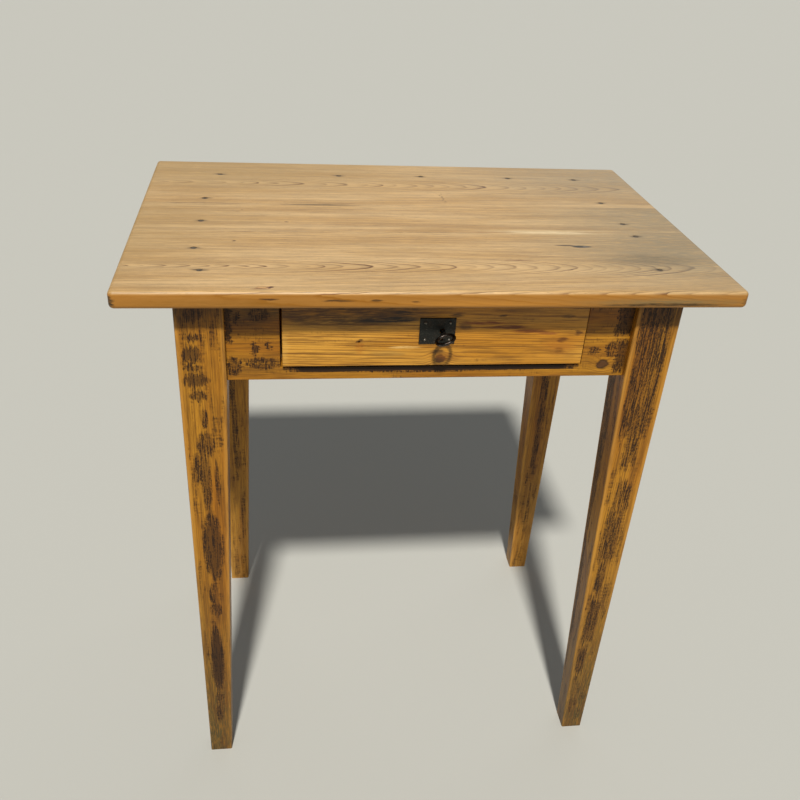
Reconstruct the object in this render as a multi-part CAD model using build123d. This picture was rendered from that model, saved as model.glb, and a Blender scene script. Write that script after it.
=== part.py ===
from build123d import *
import os
from math import cos, radians, sin

# Small pine side table with one locking drawer.
# Millimetres. Origin on the floor under the middle of the top.
# +X to the right, +Y to the back, +Z up; the drawer opens towards -Y.

# ---- driving dimensions: top -------------------------------------------------
TABLE_LENGTH = 682.0
TABLE_DEPTH = 445.0
TABLE_HEIGHT = 750.0
TOP_THICKNESS = 20.0
TOP_END_SKEW = 7.0             # the right end is sawn out of square, shorter at the back
TOP_CORNER_RADIUS = 5.5
TOP_UPPER_ROUND = 5.0
TOP_LOWER_ROUND = 5.0
BACK_JOINT = (47.0, 47.0)      # y of the glue joint at the left and right ends
FRONT_JOINT = (-56.0, -45.0)   # the old boards are a little tapered

# ---- driving dimensions: base ------------------------------------------------
SIDE_OVERHANG = 59.0
END_OVERHANG = 27.0
LEG_WIDTH = 52.0
LEG_DEPTH = 50.0
FOOT_WIDTH = 30.0
FOOT_DEPTH = 29.0
LEG_ARRIS = 2.0
APRON_HEIGHT = 105.0
APRON_THICKNESS = 22.0
FRONT_SETBACK = 10.0
SIDE_SETBACK = 8.0
BACK_SETBACK = 14.0
BACK_LEFT_INSET = 14.0          # the back left leg stands this much further in: the table is out of square
TENON_THICKNESS = 8.0
TENON_LENGTH = 22.0
TENON_SHOULDER = 10.0          # below the tenon
TENON_HAUNCH = 20.0            # above the tenon
MORTISE_SPARE = 1.0            # glue room past the tenon's end
APRON_ARRIS = 1.2

# ---- driving dimensions: drawer ----------------------------------------------
# Everything of the drawer, its lock and its runners is drawn about the drawer's own middle.
DRAWER_OFFSET = 2.9            # the notch was sawn this much right of the table's middle
DRAWER_WIDTH = 343.0
DRAWER_FRONT_HEIGHT = 83.0
DRAWER_FRONT_THICKNESS = 22.0
DRAWER_FRONT_PROUD = 5.5       # how far the front stands out of the apron
DRAWER_FRONT_ARRIS = 1.5
DRAWER_SIDE_HEIGHT = 77.0
DRAWER_SIDE_THICKNESS = 12.0
DRAWER_BACK_THICKNESS = 12.0
DRAWER_BASE = 644.5            # lower edge of the drawer
DRAWER_STOP_GAP = 0.5          # between the drawer's end and the back apron
NOTCH_SIDE_GAP = 2.5
NOTCH_BOTTOM_GAP = 4.0
LAP_THICKNESS = 8.0            # wood left in front of the lapped dovetails
TAIL_NECK = 20.0
TAIL_END = 26.0
BOTTOM_THICKNESS = 8.0
BOTTOM_RISE = 6.0              # groove above the lower edge
GROOVE_DEPTH = 6.0
GROOVE_SPARE = 0.5
BOTTOM_JOINT = -5.0            # y of the joint between the two bottom boards

# ---- driving dimensions: runners and guides ------------------------------------
RUNNER_WIDTH = 38.0
RUNNER_HEIGHT = 18.0
RUNNER_INNER = 152.0           # x of the runner's inner face
RUNNER_GAP = 0.3               # under the drawer's sides
RUNNER_TENON_LENGTH = 6.0
RUNNER_TENON_INSET = 4.0
GUIDE_GAP = 1.0
GUIDE_HEIGHT = 20.0

# ---- driving dimensions: iron nails --------------------------------------------
TOP_NAIL_LENGTH = 55.0
TOP_NAIL_RADIUS = 1.4
TOP_NAIL_HEAD_RADIUS = 3.6
NAIL_HEAD_THICKNESS = 1.2
NAIL_SINK = 0.4                # head below the surface of the top
NAIL_CLEARANCE = 0.05
SMALL_NAIL_LENGTH = 30.0
SMALL_NAIL_RADIUS = 1.0
SMALL_NAIL_HEAD_RADIUS = 2.3
TOP_NAIL_PLACES = [
    (-250, 163), (-87, 165), (30, 168), (156, 167), (254, 165),
    (-264, 63), (-263, -19), (-265, -105), (-254, -167),
    (263, 65), (266, -15), (268, -58), (259, -162),
]
OLD_NAIL_HOLE = (-87.0, 675.0)  # x and z of an old hole in the drawer front
OLD_NAIL_HOLE_RADIUS = 1.2
OLD_NAIL_HOLE_DEPTH = 8.0

# ---- driving dimensions: lock and key --------------------------------------------
KEY_X = 5.1                    # right of the drawer's middle
KEY_Z = 688.6
PLATE_X = -0.4                 # the keyhole is not in the middle of its plate
PLATE_WIDTH = 40.5
PLATE_HEIGHT = 32.0
PLATE_THICKNESS = 1.2
PLATE_NAIL_INSET_X = 6.5
PLATE_NAIL_INSET_Z = 5.5
PLATE_NAIL_RADIUS = 0.8
PLATE_NAIL_HEAD_RADIUS = 1.6
PLATE_NAIL_LENGTH = 9.0
KEYHOLE_RADIUS = 3.2
KEYHOLE_SLOT = 3.4
LOCK_WIDTH = 60.0
LOCK_HEIGHT = 56.0
LOCK_PLATE_THICKNESS = 2.0
LOCK_SELVAGE_DEPTH = 13.0
LOCK_BOX_WIDTH = 48.0
LOCK_BOX_DEPTH = 8.0           # clear depth between the two plates
LOCK_WALL = 1.5
LOCK_CAP_THICKNESS = 1.2
LOCK_POCKET_SPARE = 0.2
LOCK_SCREW_RADIUS = 1.3
LOCK_SCREW_HEAD_RADIUS = 2.6
LOCK_SCREW_LENGTH = 9.0
LOCK_SCREW_X = 27.0            # from the key's axis
LOCK_SCREW_INSET = 8.0         # from the lock's top and bottom
BOLT_WIDTH = 24.0
BOLT_THICKNESS = 4.0
BOLT_HEAD_HEIGHT = 21.0
BOLT_STEM_WIDTH = 5.8
BOLT_GAP = 0.3                 # running room round the bolt
BOLT_THROW = 6.6
BOLT_STUD_RADIUS = 2.0
BOLT_STUD_DROP = 7.5           # stud below the lock's top face
STRIKE_DEPTH = 9.0
SHANK_RADIUS = 2.5
BIT_RADIUS = 11.0
BIT_THICKNESS = 2.4
BIT_LENGTH = 7.0
KEY_TILT = 20.0                # degrees: the bow's right side is up, the bit's side is down
TALON_ABOVE = 0.3              # upper jaw above the key's axis
TALON_BELOW = 5.2              # lower jaw below the key's axis
TALON_JAW = 3.8
TALON_REACH = 7.0              # jaws end this far left of the key's axis
BOW_HALF_WIDTH = 12.0
BOW_HALF_LENGTH = 11.0
BOW_WIRE_RADIUS = 1.9
BOW_CENTRE_Y = -212.8
COLLAR_RADIUS = 3.6
COLLAR_LENGTH = 2.4

# ---- places worked out from the sizes ----------------------------------------------
HALF_LENGTH = TABLE_LENGTH / 2
HALF_DEPTH = TABLE_DEPTH / 2
UNDERSIDE = TABLE_HEIGHT - TOP_THICKNESS
APRON_BASE = UNDERSIDE - APRON_HEIGHT
LEG_OUT_X = HALF_LENGTH - SIDE_OVERHANG
LEG_OUT_Y = HALF_DEPTH - END_OVERHANG
LEG_IN_X = LEG_OUT_X - LEG_WIDTH
LEG_IN_Y = LEG_OUT_Y - LEG_DEPTH
FRONT_APRON_Y = (-LEG_OUT_Y + FRONT_SETBACK, -LEG_OUT_Y + FRONT_SETBACK + APRON_THICKNESS)
BACK_APRON_Y = (LEG_OUT_Y - BACK_SETBACK - APRON_THICKNESS, LEG_OUT_Y - BACK_SETBACK)
RIGHT_APRON_X = (LEG_OUT_X - SIDE_SETBACK - APRON_THICKNESS, LEG_OUT_X - SIDE_SETBACK)
# The left apron runs straight back, flush with the outer face of the back left leg.
LEFT_APRON_X = (
    -LEG_OUT_X + BACK_LEFT_INSET + APRON_THICKNESS,
    -LEG_OUT_X + BACK_LEFT_INSET,
)
TENON_Z = (APRON_BASE + TENON_SHOULDER, UNDERSIDE - TENON_HAUNCH)
TENON_CHEEK = (APRON_THICKNESS - TENON_THICKNESS) / 2

DRAWER_HALF = DRAWER_WIDTH / 2
DRAWER_TOP = DRAWER_BASE + DRAWER_FRONT_HEIGHT
DRAWER_SIDE_TOP = DRAWER_BASE + DRAWER_SIDE_HEIGHT
FACE_Y = FRONT_APRON_Y[0] - DRAWER_FRONT_PROUD
INNER_FACE_Y = FACE_Y + DRAWER_FRONT_THICKNESS
DRAWER_END_Y = BACK_APRON_Y[0] - DRAWER_STOP_GAP
DRAWER_BACK_Y = (DRAWER_END_Y - DRAWER_BACK_THICKNESS, DRAWER_END_Y)
DRAWER_SIDE_IN = DRAWER_HALF - DRAWER_SIDE_THICKNESS
BOTTOM_Z = (DRAWER_BASE + BOTTOM_RISE, DRAWER_BASE + BOTTOM_RISE + BOTTOM_THICKNESS)
BOTTOM_HALF = DRAWER_SIDE_IN + GROOVE_DEPTH - GROOVE_SPARE
BOTTOM_FRONT_Y = INNER_FACE_Y - GROOVE_DEPTH + GROOVE_SPARE
TAIL_HEIGHTS = (DRAWER_BASE + 0.26 * DRAWER_SIDE_HEIGHT, DRAWER_BASE + 0.74 * DRAWER_SIDE_HEIGHT)

RUNNER_X = (RUNNER_INNER, RUNNER_INNER + RUNNER_WIDTH)
RUNNER_TOP = DRAWER_BASE - RUNNER_GAP
RUNNER_Z = (RUNNER_TOP - RUNNER_HEIGHT, RUNNER_TOP)
RUNNER_Y = (FRONT_APRON_Y[1], BACK_APRON_Y[0])
RUNNER_TENON_Z = (APRON_BASE + 5.0, APRON_BASE + 14.0)
GUIDE_X = (DRAWER_HALF + GUIDE_GAP, RUNNER_X[1])
GUIDE_NAIL_X = sum(GUIDE_X) / 2
GUIDE_NAIL_Y = (-130.0, 0.0, 130.0)

LOCK_Z = (DRAWER_TOP - LOCK_HEIGHT, DRAWER_TOP)
LOCK_BACK_Y = (INNER_FACE_Y - LOCK_PLATE_THICKNESS, INNER_FACE_Y)
LOCK_CAP_Y = (
    LOCK_BACK_Y[0] - LOCK_BOX_DEPTH - LOCK_CAP_THICKNESS,
    LOCK_BACK_Y[0] - LOCK_BOX_DEPTH,
)
LOCK_BOX_X = (KEY_X - LOCK_BOX_WIDTH / 2, KEY_X + LOCK_BOX_WIDTH / 2)
LOCK_BOX_Z = (LOCK_Z[0] + 2.5, LOCK_Z[1] - LOCK_PLATE_THICKNESS)
BOLT_Y_MID = LOCK_BACK_Y[0] - LOCK_BOX_DEPTH / 2
BOLT_Y = (BOLT_Y_MID - BOLT_THICKNESS / 2, BOLT_Y_MID + BOLT_THICKNESS / 2)
BOLT_X = (KEY_X - BOLT_WIDTH / 2, KEY_X + BOLT_WIDTH / 2)
BOLT_TOP = DRAWER_TOP - BOLT_GAP
BOLT_STUD_Z = DRAWER_TOP - BOLT_STUD_DROP
PLATE_FACE_Y = FACE_Y - PLATE_THICKNESS


# ---- shared helpers ------------------------------------------------------------------
def block(x, y, z):
    """A rectangular block between low and high coordinates, in either order."""
    spans = [(min(span), max(span)) for span in (x, y, z)]
    size = [high - low for low, high in spans]
    centre = [(high + low) / 2 for low, high in spans]
    return Pos(*centre) * Box(*size)


def grown(span, amount):
    """A low and high coordinate moved apart by the same amount."""
    return (min(span) - amount, max(span) + amount)


def rod_z(x, y, z, radius):
    """An upright round bar between two heights."""
    return Pos(x, y, sum(z) / 2) * Cylinder(radius, abs(z[1] - z[0]))


def rod_y(x, z, y, radius):
    """A round bar that runs from front to back."""
    return Pos(x, sum(y) / 2, z) * Rot(90, 0, 0) * Cylinder(radius, abs(y[1] - y[0]))


def at_drawer(shape):
    """A shape moved from about its own middle to the drawer's place."""
    return Pos(DRAWER_OFFSET, 0, 0) * shape


def save(node, shape):
    """Write one sub-part to its own STEP file."""
    export_step(shape, os.path.join("parts", node + ".step"))


def save_group(node, shapes):
    """Write identical fasteners as one node of separate solids."""
    group = Compound(children=[shape.solid() for shape in shapes])
    export_step(group, os.path.join("parts", node + ".step"))


# ---- table top -------------------------------------------------------------------------
def whole_top():
    """The top before it is divided into boards: rounded edges all the way round."""
    corners = (
        (-HALF_LENGTH, -HALF_DEPTH),
        (HALF_LENGTH, -HALF_DEPTH),
        (HALF_LENGTH - TOP_END_SKEW, HALF_DEPTH),
        (-HALF_LENGTH, HALF_DEPTH),
    )
    outline = Polygon(*corners, align=None)
    outline = fillet(outline.vertices(), TOP_CORNER_RADIUS)
    slab = Pos(0, 0, UNDERSIDE) * extrude(outline, TOP_THICKNESS)
    slab = fillet(slab.faces().sort_by(Axis.Z)[-1].edges(), TOP_UPPER_ROUND)
    return fillet(slab.faces().sort_by(Axis.Z)[0].edges(), TOP_LOWER_ROUND)


def board_region(front, back):
    """The stretch of the top between two glue joints, each given by its y at both ends."""
    reach = HALF_LENGTH + 10
    corners = ((-reach, front[0]), (reach, front[1]), (reach, back[1]), (-reach, back[0]))
    outline = Polygon(*corners, align=None)
    return Pos(0, 0, UNDERSIDE - 1) * extrude(outline, TOP_THICKNESS + 2)


def strike_mortise():
    """The slot under the front board that the lock's bolt rises into."""
    return at_drawer(block(grown(BOLT_X, 2), grown(BOLT_Y, 1.2), (UNDERSIDE - 1, UNDERSIDE + STRIKE_DEPTH)))


def top_nail(place):
    """One flat-headed iron nail driven through the top."""
    x, y = place
    head_top = TABLE_HEIGHT - NAIL_SINK
    head = rod_z(x, y, (head_top - NAIL_HEAD_THICKNESS, head_top), TOP_NAIL_HEAD_RADIUS)
    shank = rod_z(x, y, (head_top - TOP_NAIL_LENGTH, head_top - NAIL_HEAD_THICKNESS / 2), TOP_NAIL_RADIUS)
    return head + shank


def top_nail_hole(place):
    """The hole that a top nail fills, with the small dent over its head."""
    x, y = place
    dent_floor = TABLE_HEIGHT - NAIL_SINK - NAIL_HEAD_THICKNESS
    dent = rod_z(x, y, (dent_floor, TABLE_HEIGHT + 1), TOP_NAIL_HEAD_RADIUS + NAIL_CLEARANCE)
    bore_end = TABLE_HEIGHT - NAIL_SINK - TOP_NAIL_LENGTH - 0.5
    return dent + rod_z(x, y, (bore_end, TABLE_HEIGHT), TOP_NAIL_RADIUS + NAIL_CLEARANCE)


def drilled(piece):
    """A wooden piece with the holes of the top nails that pass through it."""
    box = piece.bounding_box()
    for x, y in TOP_NAIL_PLACES:
        if box.min.X < x < box.max.X and box.min.Y < y < box.max.Y:
            piece -= top_nail_hole((x, y))
    return piece


# ---- legs and aprons ---------------------------------------------------------------------
def inset(side, end):
    """How far a leg stands in from the usual place of its corner."""
    return BACK_LEFT_INSET if (side, end) == (-1, 1) else 0.0


def leg_inner_x(side, end):
    """The x of a leg's inner face at the apron."""
    return side * (LEG_IN_X - inset(side, end))


def side_apron_x(side):
    """The x of a side apron's inner and outer faces."""
    return LEFT_APRON_X if side < 0 else RIGHT_APRON_X


def front_tenon(side, spare=0.0):
    """Stub tenon of the front apron; side is -1 for the left end and 1 for the right."""
    y = (FRONT_APRON_Y[0] + TENON_CHEEK, FRONT_APRON_Y[1] - TENON_CHEEK)
    start = leg_inner_x(side, -1)
    return block((start, start + side * (TENON_LENGTH + spare)), y, TENON_Z)


def back_tenon(side, spare=0.0):
    """Stub tenon of the back apron."""
    y = (BACK_APRON_Y[0] + TENON_CHEEK, BACK_APRON_Y[1] - TENON_CHEEK)
    start = leg_inner_x(side, 1)
    return block((start, start + side * (TENON_LENGTH + spare)), y, TENON_Z)


def side_tenon(side, end, spare=0.0):
    """Stub tenon of a side apron; end is -1 for the front end and 1 for the back."""
    x = grown(side_apron_x(side), -TENON_CHEEK)
    return block(x, (end * LEG_IN_Y, end * (LEG_IN_Y + TENON_LENGTH + spare)), TENON_Z)


def leg(side, end):
    """A square leg, tapered below the aprons on its two inner faces, with two mortises."""
    outer_x = LEG_OUT_X - inset(side, end)
    top_centre = (side * (outer_x - LEG_WIDTH / 2), end * (LEG_OUT_Y - LEG_DEPTH / 2))
    foot_centre = (side * (outer_x - FOOT_WIDTH / 2), end * (LEG_OUT_Y - FOOT_DEPTH / 2))
    square = Pos(*top_centre, APRON_BASE) * RectangleRounded(LEG_WIDTH, LEG_DEPTH, LEG_ARRIS)
    foot = Pos(*foot_centre, 0) * RectangleRounded(FOOT_WIDTH, FOOT_DEPTH, LEG_ARRIS)
    shape = loft([foot, square]) + extrude(square, APRON_HEIGHT)
    cross_tenon = front_tenon(side, MORTISE_SPARE) if end < 0 else back_tenon(side, MORTISE_SPARE)
    shape -= cross_tenon
    shape -= side_tenon(side, end, MORTISE_SPARE)
    return drilled(shape)


def runner_tenon(side, end, spare=0.0):
    """Stub tenon at a runner's end, let into the inner face of the front or back apron."""
    x = (side * (RUNNER_X[0] + RUNNER_TENON_INSET), side * (RUNNER_X[1] - RUNNER_TENON_INSET))
    start = RUNNER_Y[0] if end < 0 else RUNNER_Y[1]
    return block(x, (start, start + end * (RUNNER_TENON_LENGTH + spare)), RUNNER_TENON_Z)


def soften_lower_edges(board):
    """Take the sharp lower arrises off an apron."""
    low = board.faces().sort_by(Axis.Z)[0]
    return fillet(low.edges(), APRON_ARRIS)


def front_apron():
    """One board across the front, notched from above for the drawer."""
    board = block((-LEG_IN_X, LEG_IN_X), FRONT_APRON_Y, (APRON_BASE, UNDERSIDE))
    board = soften_lower_edges(board)
    notch_half = DRAWER_HALF + NOTCH_SIDE_GAP
    notch_z = (DRAWER_BASE - NOTCH_BOTTOM_GAP, UNDERSIDE + 1)
    board -= at_drawer(block((-notch_half, notch_half), grown(FRONT_APRON_Y, 1), notch_z))
    for side in (-1, 1):
        board += front_tenon(side)
        board -= at_drawer(runner_tenon(side, -1, MORTISE_SPARE))
    return drilled(board)


def back_apron():
    """The plain board across the back."""
    span = (leg_inner_x(-1, 1), leg_inner_x(1, 1))
    board = soften_lower_edges(block(span, BACK_APRON_Y, (APRON_BASE, UNDERSIDE)))
    for side in (-1, 1):
        board += back_tenon(side)
        board -= at_drawer(runner_tenon(side, 1, MORTISE_SPARE))
    return drilled(board)


def side_apron(side):
    """The plain board between the front and back legs on one side."""
    heights = (APRON_BASE, UNDERSIDE)
    board = soften_lower_edges(block(side_apron_x(side), (-LEG_IN_Y, LEG_IN_Y), heights))
    for end in (-1, 1):
        board += side_tenon(side, end)
    return drilled(board)


# ---- runners and guides ----------------------------------------------------------------------
def small_nail(x, y, head_top):
    """A small flat-headed nail driven downwards."""
    head = rod_z(x, y, (head_top - NAIL_HEAD_THICKNESS, head_top), SMALL_NAIL_HEAD_RADIUS)
    shank = rod_z(x, y, (head_top - SMALL_NAIL_LENGTH, head_top - NAIL_HEAD_THICKNESS / 2), SMALL_NAIL_RADIUS)
    return head + shank


def small_nail_hole(x, y, head_top):
    """The hole that a small nail fills."""
    sunk = head_top - NAIL_HEAD_THICKNESS
    dent = rod_z(x, y, (sunk, head_top + 1), SMALL_NAIL_HEAD_RADIUS + NAIL_CLEARANCE)
    bore_z = (head_top - SMALL_NAIL_LENGTH - 0.5, head_top)
    return dent + rod_z(x, y, bore_z, SMALL_NAIL_RADIUS + NAIL_CLEARANCE)


def runner(side):
    """The rail that carries one side of the drawer, tenoned into both aprons."""
    rail = block((side * RUNNER_X[0], side * RUNNER_X[1]), RUNNER_Y, RUNNER_Z)
    for end in (-1, 1):
        rail += runner_tenon(side, end)
    for y in GUIDE_NAIL_Y:
        rail -= small_nail_hole(side * GUIDE_NAIL_X, y, RUNNER_TOP + GUIDE_HEIGHT)
    return rail


def guide(side):
    """The strip nailed on the runner that keeps the drawer straight."""
    strip = block((side * GUIDE_X[0], side * GUIDE_X[1]), RUNNER_Y, (RUNNER_TOP, RUNNER_TOP + GUIDE_HEIGHT))
    for y in GUIDE_NAIL_Y:
        strip -= small_nail_hole(side * GUIDE_NAIL_X, y, RUNNER_TOP + GUIDE_HEIGHT)
    return strip


# ---- drawer ------------------------------------------------------------------------------------
def tail(side, neck_y, end_y, z):
    """One dovetail of a drawer side, narrow at its neck and wide at its end."""
    neck, end = TAIL_NECK / 2, TAIL_END / 2
    corners = ((neck_y, z - neck), (end_y, z - end), (end_y, z + end), (neck_y, z + neck))
    face = Plane.YZ * Polygon(*corners, align=None)
    x = DRAWER_SIDE_IN if side > 0 else -DRAWER_HALF
    return Pos(x, 0, 0) * extrude(face, DRAWER_SIDE_THICKNESS, dir=(1, 0, 0))


def drawer_side(side):
    """A drawer side with lapped dovetails in front, through dovetails behind and a groove."""
    x = (side * DRAWER_SIDE_IN, side * DRAWER_HALF)
    panel = block(x, (INNER_FACE_Y, DRAWER_BACK_Y[0]), (DRAWER_BASE, DRAWER_SIDE_TOP))
    # The lower edge runs on past the back, which stops above the bottom boards.
    panel += block(x, DRAWER_BACK_Y, (DRAWER_BASE, BOTTOM_Z[1]))
    for z in TAIL_HEIGHTS:
        panel += tail(side, INNER_FACE_Y, FACE_Y + LAP_THICKNESS, z)
        panel += tail(side, DRAWER_BACK_Y[0], DRAWER_BACK_Y[1], z + BOTTOM_THICKNESS / 2)
    groove_x = (side * (DRAWER_SIDE_IN - 1), side * (DRAWER_SIDE_IN + GROOVE_DEPTH))
    return panel - block(groove_x, (INNER_FACE_Y - GROOVE_DEPTH, DRAWER_END_Y + 1), BOTTOM_Z)


def keyhole(y):
    """The keyhole's opening between two depths: a round hole over a slot."""
    slot_end = KEY_Z - BIT_RADIUS - 0.6
    slot = block((KEY_X - KEYHOLE_SLOT / 2, KEY_X + KEYHOLE_SLOT / 2), y, (slot_end, KEY_Z))
    return rod_y(KEY_X, KEY_Z, y, KEYHOLE_RADIUS) + slot


def lock_screw_places():
    """The x and z of the four screws that hold the lock."""
    heights = (LOCK_Z[0] + LOCK_SCREW_INSET, LOCK_Z[1] - LOCK_SCREW_INSET)
    return [(KEY_X + side * LOCK_SCREW_X, z) for side in (-1, 1) for z in heights]


def plate_nail_places():
    """The x and z of the four nails of the keyhole plate."""
    half_x = PLATE_WIDTH / 2 - PLATE_NAIL_INSET_X
    half_z = PLATE_HEIGHT / 2 - PLATE_NAIL_INSET_Z
    return [(PLATE_X + a * half_x, KEY_Z + b * half_z) for a in (-1, 1) for b in (-1, 1)]


def lock_pocket():
    """The room cut into the back and top of the drawer front for the lock."""
    plate_x = (KEY_X - LOCK_WIDTH / 2, KEY_X + LOCK_WIDTH / 2)
    pocket = block(plate_x, (LOCK_BACK_Y[0], INNER_FACE_Y + 1), (LOCK_Z[0], DRAWER_TOP + 1))
    box_y = (LOCK_CAP_Y[0] - LOCK_POCKET_SPARE, INNER_FACE_Y)
    box_z = (LOCK_BOX_Z[0] - LOCK_POCKET_SPARE, DRAWER_TOP + 1)
    pocket += block(grown(LOCK_BOX_X, LOCK_POCKET_SPARE), box_y, box_z)
    selvage_y = (INNER_FACE_Y - LOCK_SELVAGE_DEPTH, INNER_FACE_Y)
    pocket += block(plate_x, selvage_y, (DRAWER_TOP - LOCK_PLATE_THICKNESS, DRAWER_TOP + 1))
    return pocket


def drawer_front():
    """The drawer front with its dovetail sockets, groove, keyhole and lock pocket."""
    board = block((-DRAWER_HALF, DRAWER_HALF), (FACE_Y, INNER_FACE_Y), (DRAWER_BASE, DRAWER_TOP))
    board = fillet(board.faces().sort_by(Axis.Y)[0].edges(), DRAWER_FRONT_ARRIS)
    for side in (-1, 1):
        for z in TAIL_HEIGHTS:
            board -= tail(side, INNER_FACE_Y, FACE_Y + LAP_THICKNESS, z)
    groove_y = (INNER_FACE_Y - GROOVE_DEPTH, INNER_FACE_Y + 1)
    groove_half = DRAWER_SIDE_IN + GROOVE_DEPTH
    board -= block((-groove_half, groove_half), groove_y, BOTTOM_Z)
    board -= keyhole((FACE_Y - 1, LOCK_CAP_Y[0]))
    board -= lock_pocket()
    hole_x, hole_z = OLD_NAIL_HOLE
    board -= rod_y(hole_x, hole_z, (FACE_Y - 1, FACE_Y + OLD_NAIL_HOLE_DEPTH), OLD_NAIL_HOLE_RADIUS)
    for x, z in plate_nail_places():
        board -= rod_y(x, z, (FACE_Y - 1, FACE_Y + PLATE_NAIL_LENGTH), PLATE_NAIL_RADIUS + NAIL_CLEARANCE)
    for x, z in lock_screw_places():
        end = INNER_FACE_Y - LOCK_SCREW_LENGTH - 0.3
        board -= rod_y(x, z, (end, INNER_FACE_Y), LOCK_SCREW_RADIUS + NAIL_CLEARANCE)
    return board


def drawer_back():
    """The drawer back, above the bottom boards, with pins between the sides' tails."""
    board = block((-DRAWER_HALF, DRAWER_HALF), DRAWER_BACK_Y, (BOTTOM_Z[1], DRAWER_SIDE_TOP))
    for side in (-1, 1):
        for z in TAIL_HEIGHTS:
            board -= tail(side, DRAWER_BACK_Y[0], DRAWER_BACK_Y[1], z + BOTTOM_THICKNESS / 2)
    return drilled_from_below(board)


def bottom_nail_places():
    """The x and y of the nails that hold the bottom to the drawer back."""
    return [(x, sum(DRAWER_BACK_Y) / 2) for x in (-120.0, -40.0, 40.0, 120.0)]


def bottom_nail(place):
    """A small nail driven upwards through the bottom board."""
    x, y = place
    head = rod_z(x, y, (BOTTOM_Z[0], BOTTOM_Z[0] + NAIL_HEAD_THICKNESS), SMALL_NAIL_HEAD_RADIUS)
    return head + rod_z(x, y, (BOTTOM_Z[0], BOTTOM_Z[0] + SMALL_NAIL_LENGTH), SMALL_NAIL_RADIUS)


def drilled_from_below(piece):
    """A drawer piece with the holes of the bottom's nails."""
    for x, y in bottom_nail_places():
        head_z = (BOTTOM_Z[0] - 1, BOTTOM_Z[0] + NAIL_HEAD_THICKNESS)
        piece -= rod_z(x, y, head_z, SMALL_NAIL_HEAD_RADIUS + NAIL_CLEARANCE)
        bore_z = (BOTTOM_Z[0] - 1, BOTTOM_Z[0] + SMALL_NAIL_LENGTH + 0.5)
        piece -= rod_z(x, y, bore_z, SMALL_NAIL_RADIUS + NAIL_CLEARANCE)
    return piece


def bottom_board(y):
    """One board of the drawer bottom, its ends in the sides' grooves."""
    return block((-BOTTOM_HALF, BOTTOM_HALF), y, BOTTOM_Z)


# ---- keyhole plate, lock and key --------------------------------------------------------------
def keyhole_plate():
    """The iron plate on the face of the drawer front."""
    x = (PLATE_X - PLATE_WIDTH / 2, PLATE_X + PLATE_WIDTH / 2)
    z = (KEY_Z - PLATE_HEIGHT / 2, KEY_Z + PLATE_HEIGHT / 2)
    plate = block(x, (PLATE_FACE_Y, FACE_Y), z)
    plate = chamfer(plate.faces().sort_by(Axis.Y)[0].edges(), PLATE_THICKNESS / 3)
    plate -= keyhole((PLATE_FACE_Y - 1, FACE_Y + 1))
    for nail_x, nail_z in plate_nail_places():
        plate -= rod_y(nail_x, nail_z, (PLATE_FACE_Y - 1, FACE_Y + 1), PLATE_NAIL_RADIUS + NAIL_CLEARANCE)
    return plate


def plate_nail(place):
    """A small round-headed nail of the keyhole plate."""
    x, z = place
    dome = Pos(x, PLATE_FACE_Y, z) * Sphere(PLATE_NAIL_HEAD_RADIUS)
    reach = 2 * PLATE_NAIL_HEAD_RADIUS
    front_half = block((x - reach, x + reach), (PLATE_FACE_Y - reach, PLATE_FACE_Y), (z - reach, z + reach))
    shank_y = (PLATE_FACE_Y - 0.5, FACE_Y + PLATE_NAIL_LENGTH - 0.5)
    return (dome & front_half) + rod_y(x, z, shank_y, PLATE_NAIL_RADIUS)


def lock_case():
    """The lock's back plate, top plate and three walls, with the stud that guides the bolt."""
    half = LOCK_WIDTH / 2
    case = block((KEY_X - half, KEY_X + half), LOCK_BACK_Y, LOCK_Z)
    selvage_y = (INNER_FACE_Y - LOCK_SELVAGE_DEPTH, INNER_FACE_Y)
    case += block((KEY_X - half, KEY_X + half), selvage_y, (LOCK_BOX_Z[1], LOCK_Z[1]))
    walls_y = (LOCK_CAP_Y[1], LOCK_BACK_Y[0])
    outer = block(LOCK_BOX_X, walls_y, LOCK_BOX_Z)
    inner = block(grown(LOCK_BOX_X, -LOCK_WALL), walls_y, (LOCK_BOX_Z[0] + LOCK_WALL, LOCK_BOX_Z[1]))
    case += outer - inner
    case += rod_y(KEY_X, BOLT_STUD_Z, (BOLT_Y[0] - BOLT_GAP, LOCK_BACK_Y[0]), BOLT_STUD_RADIUS)
    case -= rod_y(KEY_X, KEY_Z, grown(LOCK_BACK_Y, 1), SHANK_RADIUS + BOLT_GAP)
    case -= block(grown(BOLT_X, BOLT_GAP), grown(BOLT_Y, BOLT_GAP), grown((LOCK_BOX_Z[1], LOCK_Z[1]), 1))
    for x, z in lock_screw_places():
        case -= rod_y(x, z, grown(LOCK_BACK_Y, 1), LOCK_SCREW_RADIUS + NAIL_CLEARANCE)
        case -= screw_head(x, z, NAIL_CLEARANCE)
    return case


def screw_head(x, z, spare=0.0):
    """The countersunk head of a lock screw, flush with the lock's back plate."""
    depth = LOCK_SCREW_HEAD_RADIUS - LOCK_SCREW_RADIUS
    cone = Cone(LOCK_SCREW_RADIUS + spare, LOCK_SCREW_HEAD_RADIUS + spare, depth)
    return Pos(x, INNER_FACE_Y - depth / 2, z) * Rot(-90, 0, 0) * cone


def lock_screw(place):
    """A small countersunk wood screw."""
    x, z = place
    shank_y = (INNER_FACE_Y - LOCK_SCREW_LENGTH, INNER_FACE_Y - 1)
    slot = block((x - 3, x + 3), (INNER_FACE_Y - 0.5, INNER_FACE_Y + 1), (z - 0.3, z + 0.3))
    return screw_head(x, z) + rod_y(x, z, shank_y, LOCK_SCREW_RADIUS) - slot


def lock_cap():
    """The plate that closes the front of the lock, with its own keyhole."""
    cap = block(LOCK_BOX_X, LOCK_CAP_Y, LOCK_BOX_Z)
    return cap - keyhole(grown(LOCK_CAP_Y, 1))


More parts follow.
